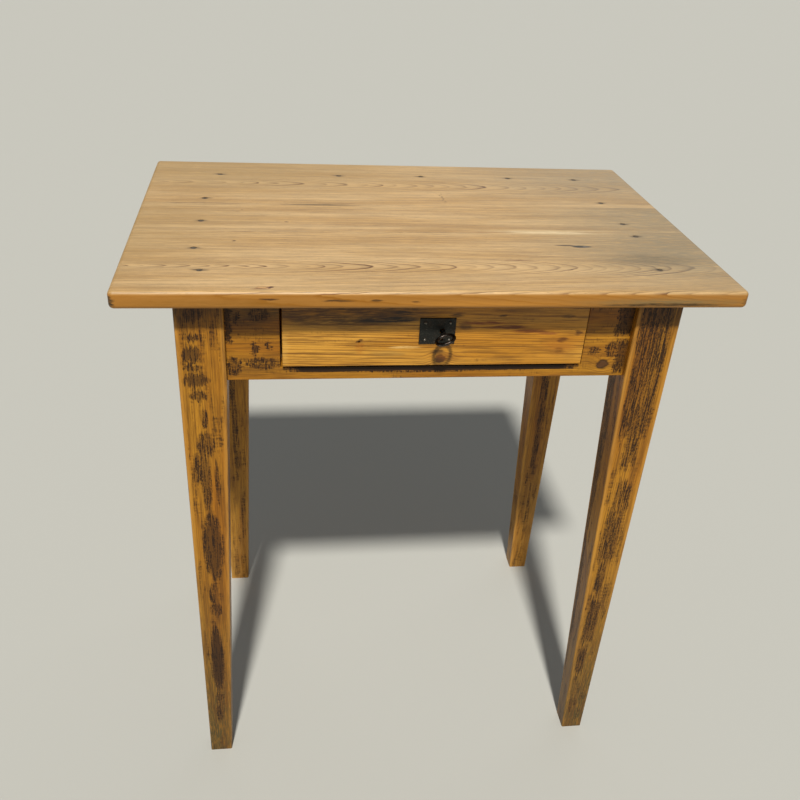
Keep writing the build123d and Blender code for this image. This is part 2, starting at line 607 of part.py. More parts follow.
def lock_bolt():
    """The bolt: a wide head, a stem on its left and a talon whose jaws hold the key's bit."""
    head_z = (BOLT_TOP - BOLT_HEAD_HEIGHT, BOLT_TOP)
    bolt = block(BOLT_X, BOLT_Y, head_z)
    stem_x = (KEY_X - BIT_RADIUS - 1.2 - BOLT_STEM_WIDTH, KEY_X - BIT_RADIUS - 1.2)
    stem_base = KEY_Z - TALON_BELOW - TALON_JAW
    bolt += block((stem_x[0], BOLT_X[0] + 4), BOLT_Y, (head_z[0], head_z[0] + TALON_JAW))
    bolt += block(stem_x, BOLT_Y, (stem_base, head_z[0] + TALON_JAW))
    jaw_x = (stem_x[1], KEY_X - TALON_REACH)
    bolt += block(jaw_x, BOLT_Y, (KEY_Z + TALON_ABOVE, KEY_Z + TALON_ABOVE + TALON_JAW))
    bolt += block(jaw_x, BOLT_Y, (stem_base, KEY_Z - TALON_BELOW))
    slot_half = BOLT_STUD_RADIUS + BOLT_GAP
    slot_low = BOLT_STUD_Z - BOLT_THROW - BOLT_GAP
    slot = rod_y(KEY_X, BOLT_STUD_Z, grown(BOLT_Y, 1), slot_half)
    slot += rod_y(KEY_X, slot_low, grown(BOLT_Y, 1), slot_half)
    slot += block((KEY_X - slot_half, KEY_X + slot_half), grown(BOLT_Y, 1), (slot_low, BOLT_STUD_Z))
    return bolt - slot


def key():
    """The key: an oval wire bow, a collar, a round shank and a plain bit."""
    bow_end_y = BOW_CENTRE_Y + BOW_HALF_LENGTH
    tip_y = INNER_FACE_Y - 0.3
    bow_half = (BOW_HALF_WIDTH - BOW_WIRE_RADIUS, BOW_HALF_LENGTH - BOW_WIRE_RADIUS)
    bow_path = Wire([Edge.make_ellipse(*bow_half)])
    section = Plane(origin=bow_path @ 0, z_dir=bow_path % 0) * Circle(BOW_WIRE_RADIUS)
    bow = Pos(0, BOW_CENTRE_Y, 0) * sweep(section, path=bow_path)
    shank = rod_y(0, 0, (bow_end_y - BOW_WIRE_RADIUS, tip_y), SHANK_RADIUS)
    collar = rod_y(0, 0, (bow_end_y - 0.6, bow_end_y - 0.6 + COLLAR_LENGTH), COLLAR_RADIUS)
    bit_y = (LOCK_BACK_Y[0] - 0.5 - BIT_LENGTH, LOCK_BACK_Y[0] - 0.5)
    bit = block((-BIT_RADIUS, 0), bit_y, (-BIT_THICKNESS / 2, BIT_THICKNESS / 2))
    whole = bow + shank + collar + bit
    return Pos(KEY_X, 0, KEY_Z) * Rot(0, -KEY_TILT, 0) * whole


# ---- write every sub-part -------------------------------------------------------------------------
os.makedirs("parts", exist_ok=True)

top = whole_top()
beyond = HALF_DEPTH + 10
front_board = (top & board_region((-beyond, -beyond), FRONT_JOINT)) - strike_mortise()
save("top_board_front", drilled(front_board))
save("top_board_middle", drilled(top & board_region(FRONT_JOINT, BACK_JOINT)))
save("top_board_back", drilled(top & board_region(BACK_JOINT, (beyond, beyond))))
save_group("top_nails", [top_nail(place) for place in TOP_NAIL_PLACES])

for side, side_name in ((-1, "left"), (1, "right")):
    save(f"front_{side_name}_leg", leg(side, -1))
    save(f"back_{side_name}_leg", leg(side, 1))
    save(f"{side_name}_apron", side_apron(side))
    save(f"{side_name}_runner", at_drawer(runner(side)))
    save(f"{side_name}_guide", at_drawer(guide(side)))
    save(f"drawer_{side_name}_side", at_drawer(drawer_side(side)))
save("front_apron", front_apron())
save("back_apron", back_apron())
guide_nails = [
    small_nail(side * GUIDE_NAIL_X, y, RUNNER_TOP + GUIDE_HEIGHT) for side in (-1, 1) for y in GUIDE_NAIL_Y
]
save_group("guide_nails", [at_drawer(nail) for nail in guide_nails])

save("drawer_front", at_drawer(drawer_front()))
save("drawer_back", at_drawer(drawer_back()))
save("drawer_bottom_front", at_drawer(bottom_board((BOTTOM_FRONT_Y, BOTTOM_JOINT))))
save("drawer_bottom_back", at_drawer(drilled_from_below(bottom_board((BOTTOM_JOINT, DRAWER_END_Y)))))
save_group("drawer_bottom_nails", [at_drawer(bottom_nail(place)) for place in bottom_nail_places()])

save("keyhole_plate", at_drawer(keyhole_plate()))
save_group("keyhole_plate_nails", [at_drawer(plate_nail(place)) for place in plate_nail_places()])
save("lock_case", at_drawer(lock_case()))
save("lock_cap", at_drawer(lock_cap()))
save("lock_bolt", at_drawer(lock_bolt()))
save_group("lock_screws", [at_drawer(lock_screw(place)) for place in lock_screw_places()])
save("key", at_drawer(key()))
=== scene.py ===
"""Side table in old stripped pine with one locking drawer.

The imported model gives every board, leg, nail and lock piece. This script dresses them: each board has its
own growth rings, knots and stains, the legs keep the dark remains of old paint, and the iron is blackened and
worn.
"""

import logging
import math
from dataclasses import dataclass, field
from enum import Enum
from typing import Iterable, Sequence, Union

import bmesh
import bpy
from mathutils import Euler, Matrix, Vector


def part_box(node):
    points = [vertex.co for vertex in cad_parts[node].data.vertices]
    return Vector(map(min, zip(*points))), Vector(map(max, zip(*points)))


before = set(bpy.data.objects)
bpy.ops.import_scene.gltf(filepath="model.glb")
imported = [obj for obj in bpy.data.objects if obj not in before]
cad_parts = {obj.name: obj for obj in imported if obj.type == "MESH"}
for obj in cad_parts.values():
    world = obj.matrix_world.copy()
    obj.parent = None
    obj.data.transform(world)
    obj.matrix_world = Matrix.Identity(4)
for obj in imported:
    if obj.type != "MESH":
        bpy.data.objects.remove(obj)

log = logging.getLogger("side_table")

MM = 0.001

Pair = tuple[float, float]
Triple = tuple[float, float, float]
Socket = bpy.types.NodeSocket
Value = Union[Socket, float, tuple]
Inputs = dict[Union[int, str], Value]


def linear(hex_colour: str) -> tuple[float, float, float, float]:
    """Turn an sRGB hex colour into the linear colour that shaders work in.

    Args:
        hex_colour: six hex digits after a hash sign.

    Returns:
        Red, green, blue and an alpha of one.
    """
    parts = [int(hex_colour[i:i + 2], 16) / 255 for i in (1, 3, 5)]
    curve = [p / 12.92 if p <= 0.04045 else ((p + 0.055) / 1.055) ** 2.4 for p in parts]
    return (curve[0], curve[1], curve[2], 1.0)


class NodeSheet:
    """The node tree of one new material."""

    def __init__(self, name: str) -> None:
        """Start an empty tree.

        Args:
            name: the material's name.
        """
        self.material = bpy.data.materials.new(name)
        self.material.use_nodes = True
        self.tree = self.material.node_tree
        self.tree.nodes.clear()

    def add(self, kind: str, inputs: Inputs | None = None, **settings: object) -> Socket:
        """Add one node with its settings and links.

        Args:
            kind: the node's type, without its ShaderNode prefix.
            inputs: socket index or name to a socket to link or a value to set.
            **settings: attributes of the node.

        Returns:
            The node's first enabled output; the others are reached through its node.
        """
        node = self.tree.nodes.new("ShaderNode" + kind)
        for key, value in settings.items():
            setattr(node, key, value)
        for key, value in (inputs or {}).items():
            named = [s for s in node.inputs if s.name == key and s.enabled]
            socket = named[0] if named else node.inputs[key]
            if isinstance(value, bpy.types.NodeSocket):
                self.tree.links.new(value, socket)
            else:
                socket.default_value = value
        shown = [s for s in node.outputs if s.enabled]
        return shown[0] if shown else None

    def ramp(self, factor: Socket, stops: Sequence[Pair]) -> Socket:
        """A smooth curve through grey stops.

        Args:
            factor: where on the curve to read.
            stops: pairs of position and level, in order.

        Returns:
            The level.
        """
        colour = self.add("ValToRGB", {0: factor})
        elements = colour.node.color_ramp.elements
        for element, (position, level) in zip(elements, (stops[0], stops[-1])):
            element.position = position
            element.color = (level, level, level, 1.0)
        for position, level in stops[1:-1]:
            element = elements.new(position)
            element.color = (level, level, level, 1.0)
        return colour

    def finish(self, shader: Socket) -> bpy.types.Material:
        """Connect the shader to the output and hand over the material."""
        self.add("OutputMaterial", {"Surface": shader})
        return self.material


class GrainAxis(Enum):
    """The row axis that a board's grain runs along, as the order of its coordinates."""

    X = ("X", "Y", "Z")
    Y = ("Y", "X", "Z")
    Z = ("Z", "X", "Y")


@dataclass(frozen=True)
class PineScale:
    """How large the features of the wood and its paint are, along and across the grain. Millimetres."""

    bend: Pair = (330.0, 90.0)
    ripple: Pair = (26.0, 9.0)
    fibre: Pair = (20.0, 1.05)
    broad_fibre: Pair = (90.0, 3.6)
    canal: Pair = (9.0, 0.85)
    ring_presence: Pair = (110.0, 15.0)
    tone: Pair = (240.0, 30.0)
    stain_edge: Pair = (16.0, 4.0)
    stain_grain: Pair = (18.0, 1.7)
    paint_speck: Pair = (2.6, 1.3)
    scraper_chatter: Pair = (3.2, 9.0)
    paint_cloud: Pair = (60.0, 11.0)
    paint_comb: Pair = (46.0, 2.6)
    glaze: Pair = (55.0, 3.4)


SCALE = PineScale()
# How far one board's pattern lies from the next one's, along the grain and through the rings.
BOARD_STEP = 997.0
RING_STEP = 31.7


@dataclass(frozen=True)
class Mark:
    """A patch of colour for a stain, a streak, painted shade or painted light: an ellipsoid with a soft and
    uneven edge. Millimetres.

    Attributes:
        place: its middle.
        reach: its half size along each axis.
        colour: its colour.
        strength: how much of the wood it hides.
        fade: the share of the reach over which it fades.
        square: whether it is a box instead.
    """

    place: Triple
    reach: Triple
    colour: str
    strength: float = 1.0
    fade: float = 0.6
    square: bool = False


@dataclass(frozen=True)
class Knot:
    """A knot that the rings flow round. Millimetres.

    Attributes:
        place: its middle.
        reach: its half size along each axis.
        heart: the colour inside.
        rim: the colour of its dark ring.
        push: how many years the rings bend round it.
    """

    place: Triple
    reach: Triple
    heart: str = "#6b4630"
    rim: str = "#3a2415"
    push: float = 1.2


@dataclass(frozen=True)
class Grain:
    """How one board was cut from its tree. Millimetres.

    Attributes:
        axis: the row axis along the grain.
        pith: where the tree's centre lies, across the grain.
        slope: how fast the centre climbs along the board.
        ring: the width of one year.
        wave: how far the rings wander.
        jag: how uneven each ring is.
        seed: the board's own place in the pattern.
        pinch: above one, the arches of the rings are narrower.
    """

    axis: GrainAxis
    pith: Pair
    slope: float = 0.0
    ring: float = 3.0
    wave: float = 4.0
    jag: float = 0.9
    seed: float = 0.0
    pinch: float = 1.0


@dataclass(frozen=True)
class PineFinish:
    """The colours and sheen of one kind of pine surface.

    Attributes:
        early: pale early wood.
        warm: early wood where it is warmer.
        late: dark late wood.
        contrast: how strongly late wood shows.
        fibre: how much the fibres vary the shade.
        roughness: the mean roughness.
        wax: the weight of the wax coat.
        gloss: the strength of the reflection.
        relief: the depth of the grain, in millimetres.
    """

    early: str
    warm: str
    late: str
    contrast: float
    fibre: float
    roughness: float
    wax: float
    gloss: float = 0.5
    relief: float = 0.12


@dataclass(frozen=True)
class LegShape:
    """A tapered leg's outer corner and widths, for keeping its arrises clean. Millimetres."""

    corner: Pair
    top: Pair
    foot: Pair
    taper_start: float


@dataclass(frozen=True)
class PaintRemains:
    """Dark old paint that stripping left in the pores, thick in some patches. Millimetres.

    Attributes:
        patches: where it is thick, some of them painted shade; their colours aren't used.
        everywhere: how much there is between the patches.
        glaze: how much of the thin brown layer is left.
        colour: the thick paint.
        thin_colour: the thin paint.
        streak: a streak's length along the grain and width across it.
        comb: how ragged the patches' ends are along the grain.
    """

    patches: tuple[Mark, ...] = ()
    everywhere: float = 0.0
    glaze: float = 0.5
    colour: str = "#1a0d04"
    thin_colour: str = "#54300c"
    streak: Pair = (32.0, 1.35)
    comb: float = 70.0


@dataclass
class PineBoard:
    """One pine board's material, from its grain, finish, knots, marks and paint.

    Attributes:
        name: the material's name.
        grain: how the board was cut.
        finish: its colours and sheen.
        knots: its knots.
        marks: its stains, with any painted shade and painted light, laid over the wood in order.
        paint: remains of old paint, if any.
        leg: the leg's shape, if the arrises are kept clean.
        edge_tint: a colour for the sides below a height, with the two heights it fades between.
    """

    name: str
    grain: Grain
    finish: PineFinish
    knots: Sequence[Knot] = ()
    marks: Sequence[Mark] = ()
    paint: PaintRemains | None = None
    leg: LegShape | None = None
    edge_tint: tuple[str, float, float] | None = None

    # Filled in by build(): the tree, and the places, levels and masks that its steps share.
    sheet: NodeSheet = field(init=False, repr=False)
    position: Socket = field(init=False, repr=False)
    unsteady: Socket = field(init=False, repr=False)
    lengthwise: Socket = field(init=False, repr=False)
    xyz: dict[str, Socket] = field(init=False, repr=False)
    late: Socket = field(init=False, repr=False)
    fibre: Socket = field(init=False, repr=False)
    paint_mask: Socket | None = field(init=False, repr=False, default=None)

    # ---- small pieces of the pattern ----
    def _math(self, operation: str, *values: Value) -> Socket:
        """One arithmetic step."""
        return self.sheet.add("Math", dict(enumerate(values)), operation=operation)

    def _vector(self, operation: str, *values: Value) -> Socket:
        """One vector step."""
        return self.sheet.add("VectorMath", dict(enumerate(values)), operation=operation)

    def _range(
        self, value: Socket, low: float, high: float, first: float = 0.0, last: float = 1.0,
    ) -> Socket:
        """A smooth step from one level to another."""
        inputs = {"Value": value, "From Min": low, "From Max": high, "To Min": first, "To Max": last}
        return self.sheet.add("MapRange", inputs, interpolation_type="SMOOTHSTEP")

    def _noise(self, vector: Socket, size: Triple, detail: float = 2.0, rough: float = 0.5) -> Socket:
        """Noise whose features are about so many millimetres along each axis.

        Args:
            vector: where to read it, in millimetres.
            size: the features' size along each axis of the vector.
            detail: how many finer layers it has.
            rough: how strong the finer layers are.

        Returns:
            The noise's level; its colour is reached through its node.
        """
        scaled = self._vector("MULTIPLY", vector, tuple(1 / s for s in size))
        inputs = {"Vector": scaled, "Scale": 1.0, "Detail": detail, "Roughness": rough}
        return self.sheet.add("TexNoise", inputs)

    def _grain_noise(self, size: Pair, detail: float = 2.0, rough: float = 0.5) -> Socket:
        """Noise in the board's own grain, which differs from board to board."""
        along, across = size
        return self._noise(self.lengthwise, (along, across, across), detail, rough)

    def _place_noise(self, size: Pair, detail: float = 2.0, rough: float = 0.5) -> Socket:
        """Noise that runs on from one board to the next, stretched along this one's grain."""
        return self._noise(self.position, self._along(*size), detail, rough)

    def _wobbled(self, noise: Socket, along: float, across: float) -> Socket:
        """The position, moved by coloured noise so many millimetres along and across the grain."""
        centred = self._vector("SUBTRACT", noise.node.outputs["Color"], (0.5, 0.5, 0.5))
        return self._vector("MULTIPLY_ADD", centred, self._along(along, across), self.position)

    def _mix(self, factor: Value, first: Value, second: Value) -> Socket:
        """A mix of two colours."""
        return self.sheet.add("Mix", {"Factor": factor, "A": first, "B": second}, data_type="RGBA")

    def _along(self, along: float, across: float) -> Triple:
        """Sizes along and across the grain, in row order."""
        return tuple(along if self.grain.axis.value[0] == letter else across for letter in "XYZ")

    # ---- the wood ----
    def _coordinates(self) -> None:
        """Set up the position in millimetres, and an unsteady copy of it for edges of stains."""
        place = self.sheet.add("TexCoord").node.outputs["Object"]
        self.position = self._vector("SCALE", place)
        self.position.node.inputs["Scale"].default_value = 1 / MM
        self.unsteady = self._wobbled(self._place_noise(SCALE.stain_edge, 3.0, 0.6), 16.0, 3.4)
        split = self.sheet.add("SeparateXYZ", {0: self.position}).node.outputs
        self.xyz = {letter: split[letter] for letter in "XYZ"}
        along, second, third = (split[letter] for letter in self.grain.axis.value)
        shifted = self._math("ADD", along, BOARD_STEP * self.grain.seed)
        self.lengthwise = self.sheet.add("CombineXYZ", {0: shifted, 1: second, 2: third})

    def _rings(self) -> Socket:
        """The level of dark late wood at each point: rings round the tree's centre, wavy and jagged.

        Returns:
            The level, from zero to one.
        """
        grain = self.grain
        slow = self._grain_noise(SCALE.bend, 1.0).node.outputs["Color"]
        quick = self._grain_noise(SCALE.ripple).node.outputs["Color"]
        bent = self._vector("MULTIPLY_ADD", slow, (0.0, 4 * grain.wave, 4 * grain.wave), self.lengthwise)
        bent = self._vector("MULTIPLY_ADD", quick, (0.0, 2 * grain.jag, 2 * grain.jag), bent)
        part = self.sheet.add("SeparateXYZ", {0: bent}).node.outputs
        mean_shift = 2 * grain.wave + grain.jag
        sideways = self._math("SUBTRACT", part["Y"], grain.pith[0] + mean_shift)
        sideways = self._math("MULTIPLY", sideways, grain.pinch)
        along = self._math("SUBTRACT", part["X"], BOARD_STEP * grain.seed)
        depth = self._math("MULTIPLY_ADD", along, grain.slope, part["Z"])
        depth = self._math("SUBTRACT", depth, grain.pith[1] + mean_shift)
        from_pith = self.sheet.add("CombineXYZ", {0: sideways, 1: depth})
        radius = self._vector("LENGTH", from_pith).node.outputs["Value"]
        steady = self.sheet.add("CombineXYZ", {0: radius, 1: RING_STEP * grain.seed})
        uneven = self._noise(steady, (5 * grain.ring, 1.0, 1.0), 1.0)
        count = self._math("DIVIDE", radius, grain.ring)
        count = self._math("MULTIPLY_ADD", uneven, 2.6, count)
        for knot in self.knots:
            near = self._ellipsoid(mark_at_knot(knot, 3.4), self.position)
            count = self._math("MULTIPLY_ADD", near, knot.push, count)
        year = self.sheet.add("TexWhiteNoise", {"W": self._math("FLOOR", count)}, noise_dimensions="1D")
        profile = self.sheet.ramp(
            self._math("FRACT", count),
            ((0.0, 0.15), (0.08, 0.0), (0.50, 0.08), (0.76, 0.45), (0.88, 1.0), (0.95, 0.95), (1.0, 0.15)),
        )
        # Some years' late wood is dark and some is hardly there.
        weight = self._range(year, 0.0, 1.0, 0.3, 1.0)
        return self._math("MULTIPLY", profile, weight)

    def _ellipsoid(self, mark: Mark, vector: Socket) -> Socket:
        """One inside a mark, fading to zero at its reach.

        Args:
            mark: the mark.
            vector: where to read it, in millimetres.

        Returns:
            The mask, from zero to one.
        """
        away = self._vector("SUBTRACT", vector, mark.place)
        away = self._vector("DIVIDE", away, mark.reach)
        if mark.square:
            parts = self.sheet.add("SeparateXYZ", {0: self._vector("ABSOLUTE", away)}).node.outputs
            distance = self._math("MAXIMUM", self._math("MAXIMUM", parts["X"], parts["Y"]), parts["Z"])
        else:
            distance = self._vector("LENGTH", away).node.outputs["Value"]
        return self._range(distance, 1 - mark.fade, 1.0, 1.0, 0.0)

    def _bare_wood(self) -> Socket:
        """The colour of the wood before knots and stains.

        Returns:
            The colour.
        """
        finish = self.finish
        self.late = self._rings()
        # Fibres are finer than this in real pine; they are drawn as coarse as they need to show.
        fine = self._grain_noise(SCALE.fibre, 3.0, 0.62)
        broad = self._grain_noise(SCALE.broad_fibre, 2.0, 0.55)
        canals = self._grain_noise(SCALE.canal, 1.0)
        presence = self._grain_noise(SCALE.ring_presence)
        tone = self._grain_noise(SCALE.tone, 3.0)
        base = self._mix(self._range(tone, 0.35, 0.66), linear(finish.early), linear(finish.warm))
        strength = self._range(presence, 0.3, 0.66, 0.5 * finish.contrast, finish.contrast)
        base = self._mix(self._math("MULTIPLY", self.late, strength), base, linear(finish.late))
        self.fibre = fine
        vary = finish.fibre
        shade = self._range(fine, 0.3, 0.7, 1 - vary, 1 + 0.8 * vary)
        shade = self._math("MULTIPLY", shade, self._range(broad, 0.3, 0.7, 1 - 0.6 * vary, 1 + 0.5 * vary))
        shade = self._math("MULTIPLY", shade, self._range(canals, 0.66, 0.74, 1.0, 1 - 1.8 * vary))
        return self._shaded(base, shade)

    def _shaded(self, colour: Socket, shade: Socket) -> Socket:
        """A colour made darker or lighter by a factor."""
        scaled = self._vector("SCALE", colour)
        self.sheet.tree.links.new(shade, scaled.node.inputs["Scale"])
        return scaled

    def _knotted(self, colour: Socket) -> Socket:
        """Lay the knots over the wood: a dark rim round a brown heart.

        Args:
            colour: the wood.

        Returns:
            The wood with its knots.
        """
        for knot in self.knots:
            rim = self._ellipsoid(mark_at_knot(knot, 1.25, 0.35), self.unsteady)
            heart = self._ellipsoid(mark_at_knot(knot, 0.85, 0.3), self.unsteady)
            colour = self._mix(self._math("MULTIPLY", rim, 0.9), colour, linear(knot.rim))
            colour = self._mix(self._math("MULTIPLY", heart, 0.75), colour, linear(knot.heart))
        return colour

    def _marked(self, colour: Socket) -> Socket:
        """Lay the stains, with any painted shade and painted light, over the wood, broken up along the grain.

        Args:
            colour: the wood.

        Returns:
            The stained wood.
        """
        if not self.marks:
            return colour
        broken = self._grain_noise(SCALE.stain_grain, 3.0, 0.65)
        patchy = self._range(broken, 0.33, 0.6, 0.45, 1.0)
        for mark in self.marks:
            mask = self._math("MULTIPLY", self._ellipsoid(mark, self.unsteady), mark.strength)
            colour = self._mix(self._math("MULTIPLY", mask, patchy), colour, linear(mark.colour))
        return colour

    def _arris(self) -> Socket:
        """Millimetres from the nearest long arris of a leg.

        Returns:
            The distance.
        """
        leg = self.leg
        nearest = []
        for letter, corner, top, foot in zip("XY", leg.corner, leg.top, leg.foot):
            heights = {"Value": self.xyz["Z"], "From Min": 0.0, "From Max": leg.taper_start}
            width = self.sheet.add("MapRange", {**heights, "To Min": foot, "To Max": top})
            outside = self._math("ABSOLUTE", self._math("SUBTRACT", self.xyz[letter], corner))
            nearest.append(self._math("MINIMUM", outside, self._math("SUBTRACT", width, outside)))
        return self._math("MAXIMUM", *nearest)

    def _painted(self, colour: Socket) -> Socket:
        """Lay the remains of old paint over the wood: broken streaks, densest in their patches; on the front
        apron some patches are painted shade.

        Args:
            colour: the wood.

        Returns:
            The wood with its paint.
        """
        paint = self.paint
        if paint is None:
            return colour
        streaks = self._place_noise(paint.streak, 3.0, 0.62)
        specks = self._place_noise(SCALE.paint_speck, 2.0, 0.6)
        chatter = self._place_noise(SCALE.scraper_chatter)
        clouds = self._place_noise(SCALE.paint_cloud, 3.0, 0.55)
        density = self._math("MULTIPLY", self._range(clouds, 0.40, 0.68), paint.everywhere)
        combed = self._wobbled(self._place_noise(SCALE.paint_comb, 2.0, 0.6), paint.comb, 3.0)
        for patch in paint.patches:
            spot = self._math("MULTIPLY", self._ellipsoid(patch, combed), patch.strength)
            density = self._math("MAXIMUM", density, spot)
        if self.leg is not None:
            ragged = self._math("MULTIPLY_ADD", streaks, 6.0, self._arris())
            density = self._math("MULTIPLY", density, self._range(ragged, 5.0, 9.0))
        # The scraper took the paint off in narrow strips and left it in the low grain between them.
        uneven = self._math("MULTIPLY_ADD", chatter, 0.9, self._math("MULTIPLY", streaks, 0.9))
        cover = self._math("ADD", density, self._math("SUBTRACT", uneven, 0.9))
        cover = self._math("MULTIPLY", self._range(cover, 0.15, 0.85), self._range(density, 0.02, 0.30))
        lines = self._math("MULTIPLY_ADD", specks, 0.35, self._math("MULTIPLY", streaks, 0.65))
        lines = self._range(lines, 0.42, 0.58)
        solid = self._range(density, 0.95, 1.35)
        lines = self._math("MAXIMUM", lines, solid)
        glaze = self._place_noise(SCALE.glaze, 3.0, 0.6)
        brown = self._math("MULTIPLY", self._range(glaze, 0.45, 0.68), paint.glaze)
        colour = self._mix(brown, colour, linear(paint.thin_colour))
        thin = self._math("MULTIPLY", cover, self._math("MULTIPLY_ADD", lines, 0.35, 0.42))
        thick = self._math("MULTIPLY", cover, lines)
        self.paint_mask = thick
        colour = self._mix(thin, colour, linear(paint.thin_colour))
        return self._mix(self._math("MULTIPLY", thick, 0.9), colour, linear(paint.colour))

    def _cleaned(self, colour: Socket) -> Socket:
        """Lighter, sanded arrises on a leg, or the tinted edge of the top.

        Args:
            colour: the wood.

        Returns:
            The wood with clean arrises or a tinted edge.
        """
        if self.leg is not None:
            worn = self._range(self._arris(), 0.5, 6.5, 0.55, 0.0)
            colour = self._mix(worn, colour, linear("#c8913f"))
        if self.edge_tint is not None:
            tint, low, high = self.edge_tint
            side = self._range(self.xyz["Z"], low, high, 0.88, 0.0)
            stripes = self._mix(self._math("MULTIPLY", self.late, 0.18), linear(tint), linear("#6f4410"))
            colour = self._mix(side, colour, stripes)
        return colour

    def build(self) -> bpy.types.Material:
        """Make the material.

        Returns:
            The finished material.
        """
        self.sheet = NodeSheet(self.name)
        self._coordinates()
        colour = self._bare_wood()
        colour = self._cleaned(colour)
        colour = self._knotted(colour)
        colour = self._marked(colour)
        colour = self._painted(colour)
        finish = self.finish
        height = self._math("MULTIPLY_ADD", self.late, 0.6, self._math("MULTIPLY", self.fibre, 0.7))
        rough = self._range(self.fibre, 0.3, 0.7, finish.roughness - 0.05, finish.roughness + 0.07)
        if self.paint_mask is not None:
            height = self._math("MULTIPLY_ADD", self.paint_mask, 0.5, height)
            rough = self._math("MULTIPLY_ADD", self.paint_mask, 0.16, rough)
        bump = self.sheet.add("Bump", {"Height": height, "Distance": finish.relief * MM, "Strength": 1.0})
        shader = self.sheet.add("BsdfPrincipled", {
            "Base Color": colour, "Roughness": rough, "Normal": bump,
            "IOR": 1.48, "Specular IOR Level": finish.gloss,
            "Coat Weight": finish.wax, "Coat Roughness": 0.28, "Coat IOR": 1.45,
        })
        return self.sheet.finish(shader)


def mark_at_knot(knot: Knot, grow: float, fade: float = 0.9) -> Mark:
    """A mark where a knot is, as many times its size.

    Args:
        knot: the knot.
        grow: how many times as large as the knot.
        fade: the share of the reach over which the mark fades.

    Returns:
        The mark.
    """
    return Mark(knot.place, tuple(r * grow for r in knot.reach), knot.heart, 1.0, fade)


@dataclass(frozen=True)
class IronFinish:
    """A forged or rolled iron surface: dark oxide, with rust in the hollows and rubbed high spots.

    Attributes:
        name: the material's name.
        oxide: the main colour.
        rust: the colour in the hollows.
        rubbed: the colour of the high spots.
        roughness: the mean roughness.
        metallic: how metallic it is.
        grain: the size of the finest pits, in millimetres.
    """

    name: str
    oxide: str
    rust: str
    rubbed: str
    roughness: float
    metallic: float
    grain: float = 1.5

    def build(self) -> bpy.types.Material:
        """Make the material.

        Returns:
            The finished material.
        """
        sheet = NodeSheet(self.name)
        place = sheet.add("TexCoord").node.outputs["Object"]
        pits = 1 / (self.grain * MM)
        coarse = sheet.add("TexNoise", {"Vector": place, "Scale": pits / 5, "Detail": 4.0, "Roughness": 0.6})
        fine = sheet.add("TexNoise", {"Vector": place, "Scale": pits, "Detail": 5.0, "Roughness": 0.7})
        rusty = sheet.ramp(coarse, ((0.48, 0.0), (0.72, 1.0)))
        worn = sheet.ramp(fine, ((0.54, 0.0), (0.74, 1.0)))
        colour = linear(self.oxide)
        for mask, tint in ((rusty, self.rust), (worn, self.rubbed)):
            colour = sheet.add("Mix", {"Factor": mask, "A": colour, "B": linear(tint)}, data_type="RGBA")
        rough = sheet.add("MapRange", {
            "Value": coarse, "From Min": 0.3, "From Max": 0.7,
            "To Min": self.roughness - 0.1, "To Max": self.roughness + 0.18,
        })
        bump = sheet.add("Bump", {"Height": fine, "Distance": 0.06 * MM, "Strength": 1.0})
        shader = sheet.add("BsdfPrincipled", {
            "Base Color": colour, "Roughness": rough, "Metallic": self.metallic, "Normal": bump,
        })
        return sheet.finish(shader)


# ---- finishes ----
# Scrubbed and waxed pine: a pale tan face that the sun and use have taken the amber out of.
TOP_PINE = PineFinish(
    "#cba976", "#bb9660", "#5c3717", contrast=1.25, fibre=0.17, roughness=0.46, wax=0.03, gloss=0.4,
)
# Scraped and oiled pine: deep amber between orange-brown late wood, dull where hands have been.
LEG_PINE = PineFinish(
    "#b07a1e", "#9b6212", "#5f330a", contrast=0.80, fibre=0.16, roughness=0.46, wax=0.03, gloss=0.3,
)
# The same pine on the drawer, cleaner and a little glossier: the brightest amber on the table.
FRONT_PINE = PineFinish(
    "#d2993a", "#bd8020", "#683809", contrast=1.00, fibre=0.09, roughness=0.42, wax=0.04, gloss=0.35,
)
# Planed and never oiled: grey-brown with handling and dust.
INNER_PINE = PineFinish(
    "#a5855a", "#977449", "#70502d", contrast=0.5, fibre=0.12, roughness=0.68, wax=0.0,
)

# Blackened sheet: near black and even, so the plate stands out square against the amber wood.
BLACK_PLATE = IronFinish(
    "blackened_sheet_iron", "#1b1c18", "#33281d", "#5a564c", roughness=0.46, metallic=0.55,
)
# Forged nails: dark and dull with brown rust.
NAIL_IRON = IronFinish(
    "rusted_forged_iron", "#231d19", "#37271c", "#3f3832", roughness=0.6, metallic=0.4, grain=0.8,
)
# The nail heads in the top: rubbed to a soft brownish grey by scrubbing.
TOP_NAIL_IRON = IronFinish(
    "rubbed_forged_iron", "#4f463a", "#3a2c1f", "#7d715e", roughness=0.6, metallic=0.0, grain=0.8,
)
# The plate's small nails: bright worn dots at its corners.
NAIL_STEEL = IronFinish(
    "worn_steel_nail", "#7d7870", "#5b5146", "#b5b0a6", roughness=0.34, metallic=1.0, grain=0.6,
)
# The lock: dull grey iron with brown in its hollows.
LOCK_IRON = IronFinish(
    "dull_sheet_iron", "#5a534a", "#4a3526", "#7f786d", roughness=0.5, metallic=0.85,
)
# The key: tarnished nearly black, with bright glints where fingers polish the bow.
KEY_STEEL = IronFinish(
    "tarnished_key_steel", "#3b3632", "#352a22", "#8f8a84", roughness=0.30, metallic=1.0, grain=1.2,
)

# The colour of a patch of old paint, or of painted shade; the board's paint remains give the colours that
# show.
STAIN = "#3c3328"
# The drawer's notch is this much wider than the drawer at each side, in millimetres.
NOTCH_GAP = 2.5
# How deep stains reach into the apron and the drawer front, in millimetres.
STAIN_DEPTH = 8.0


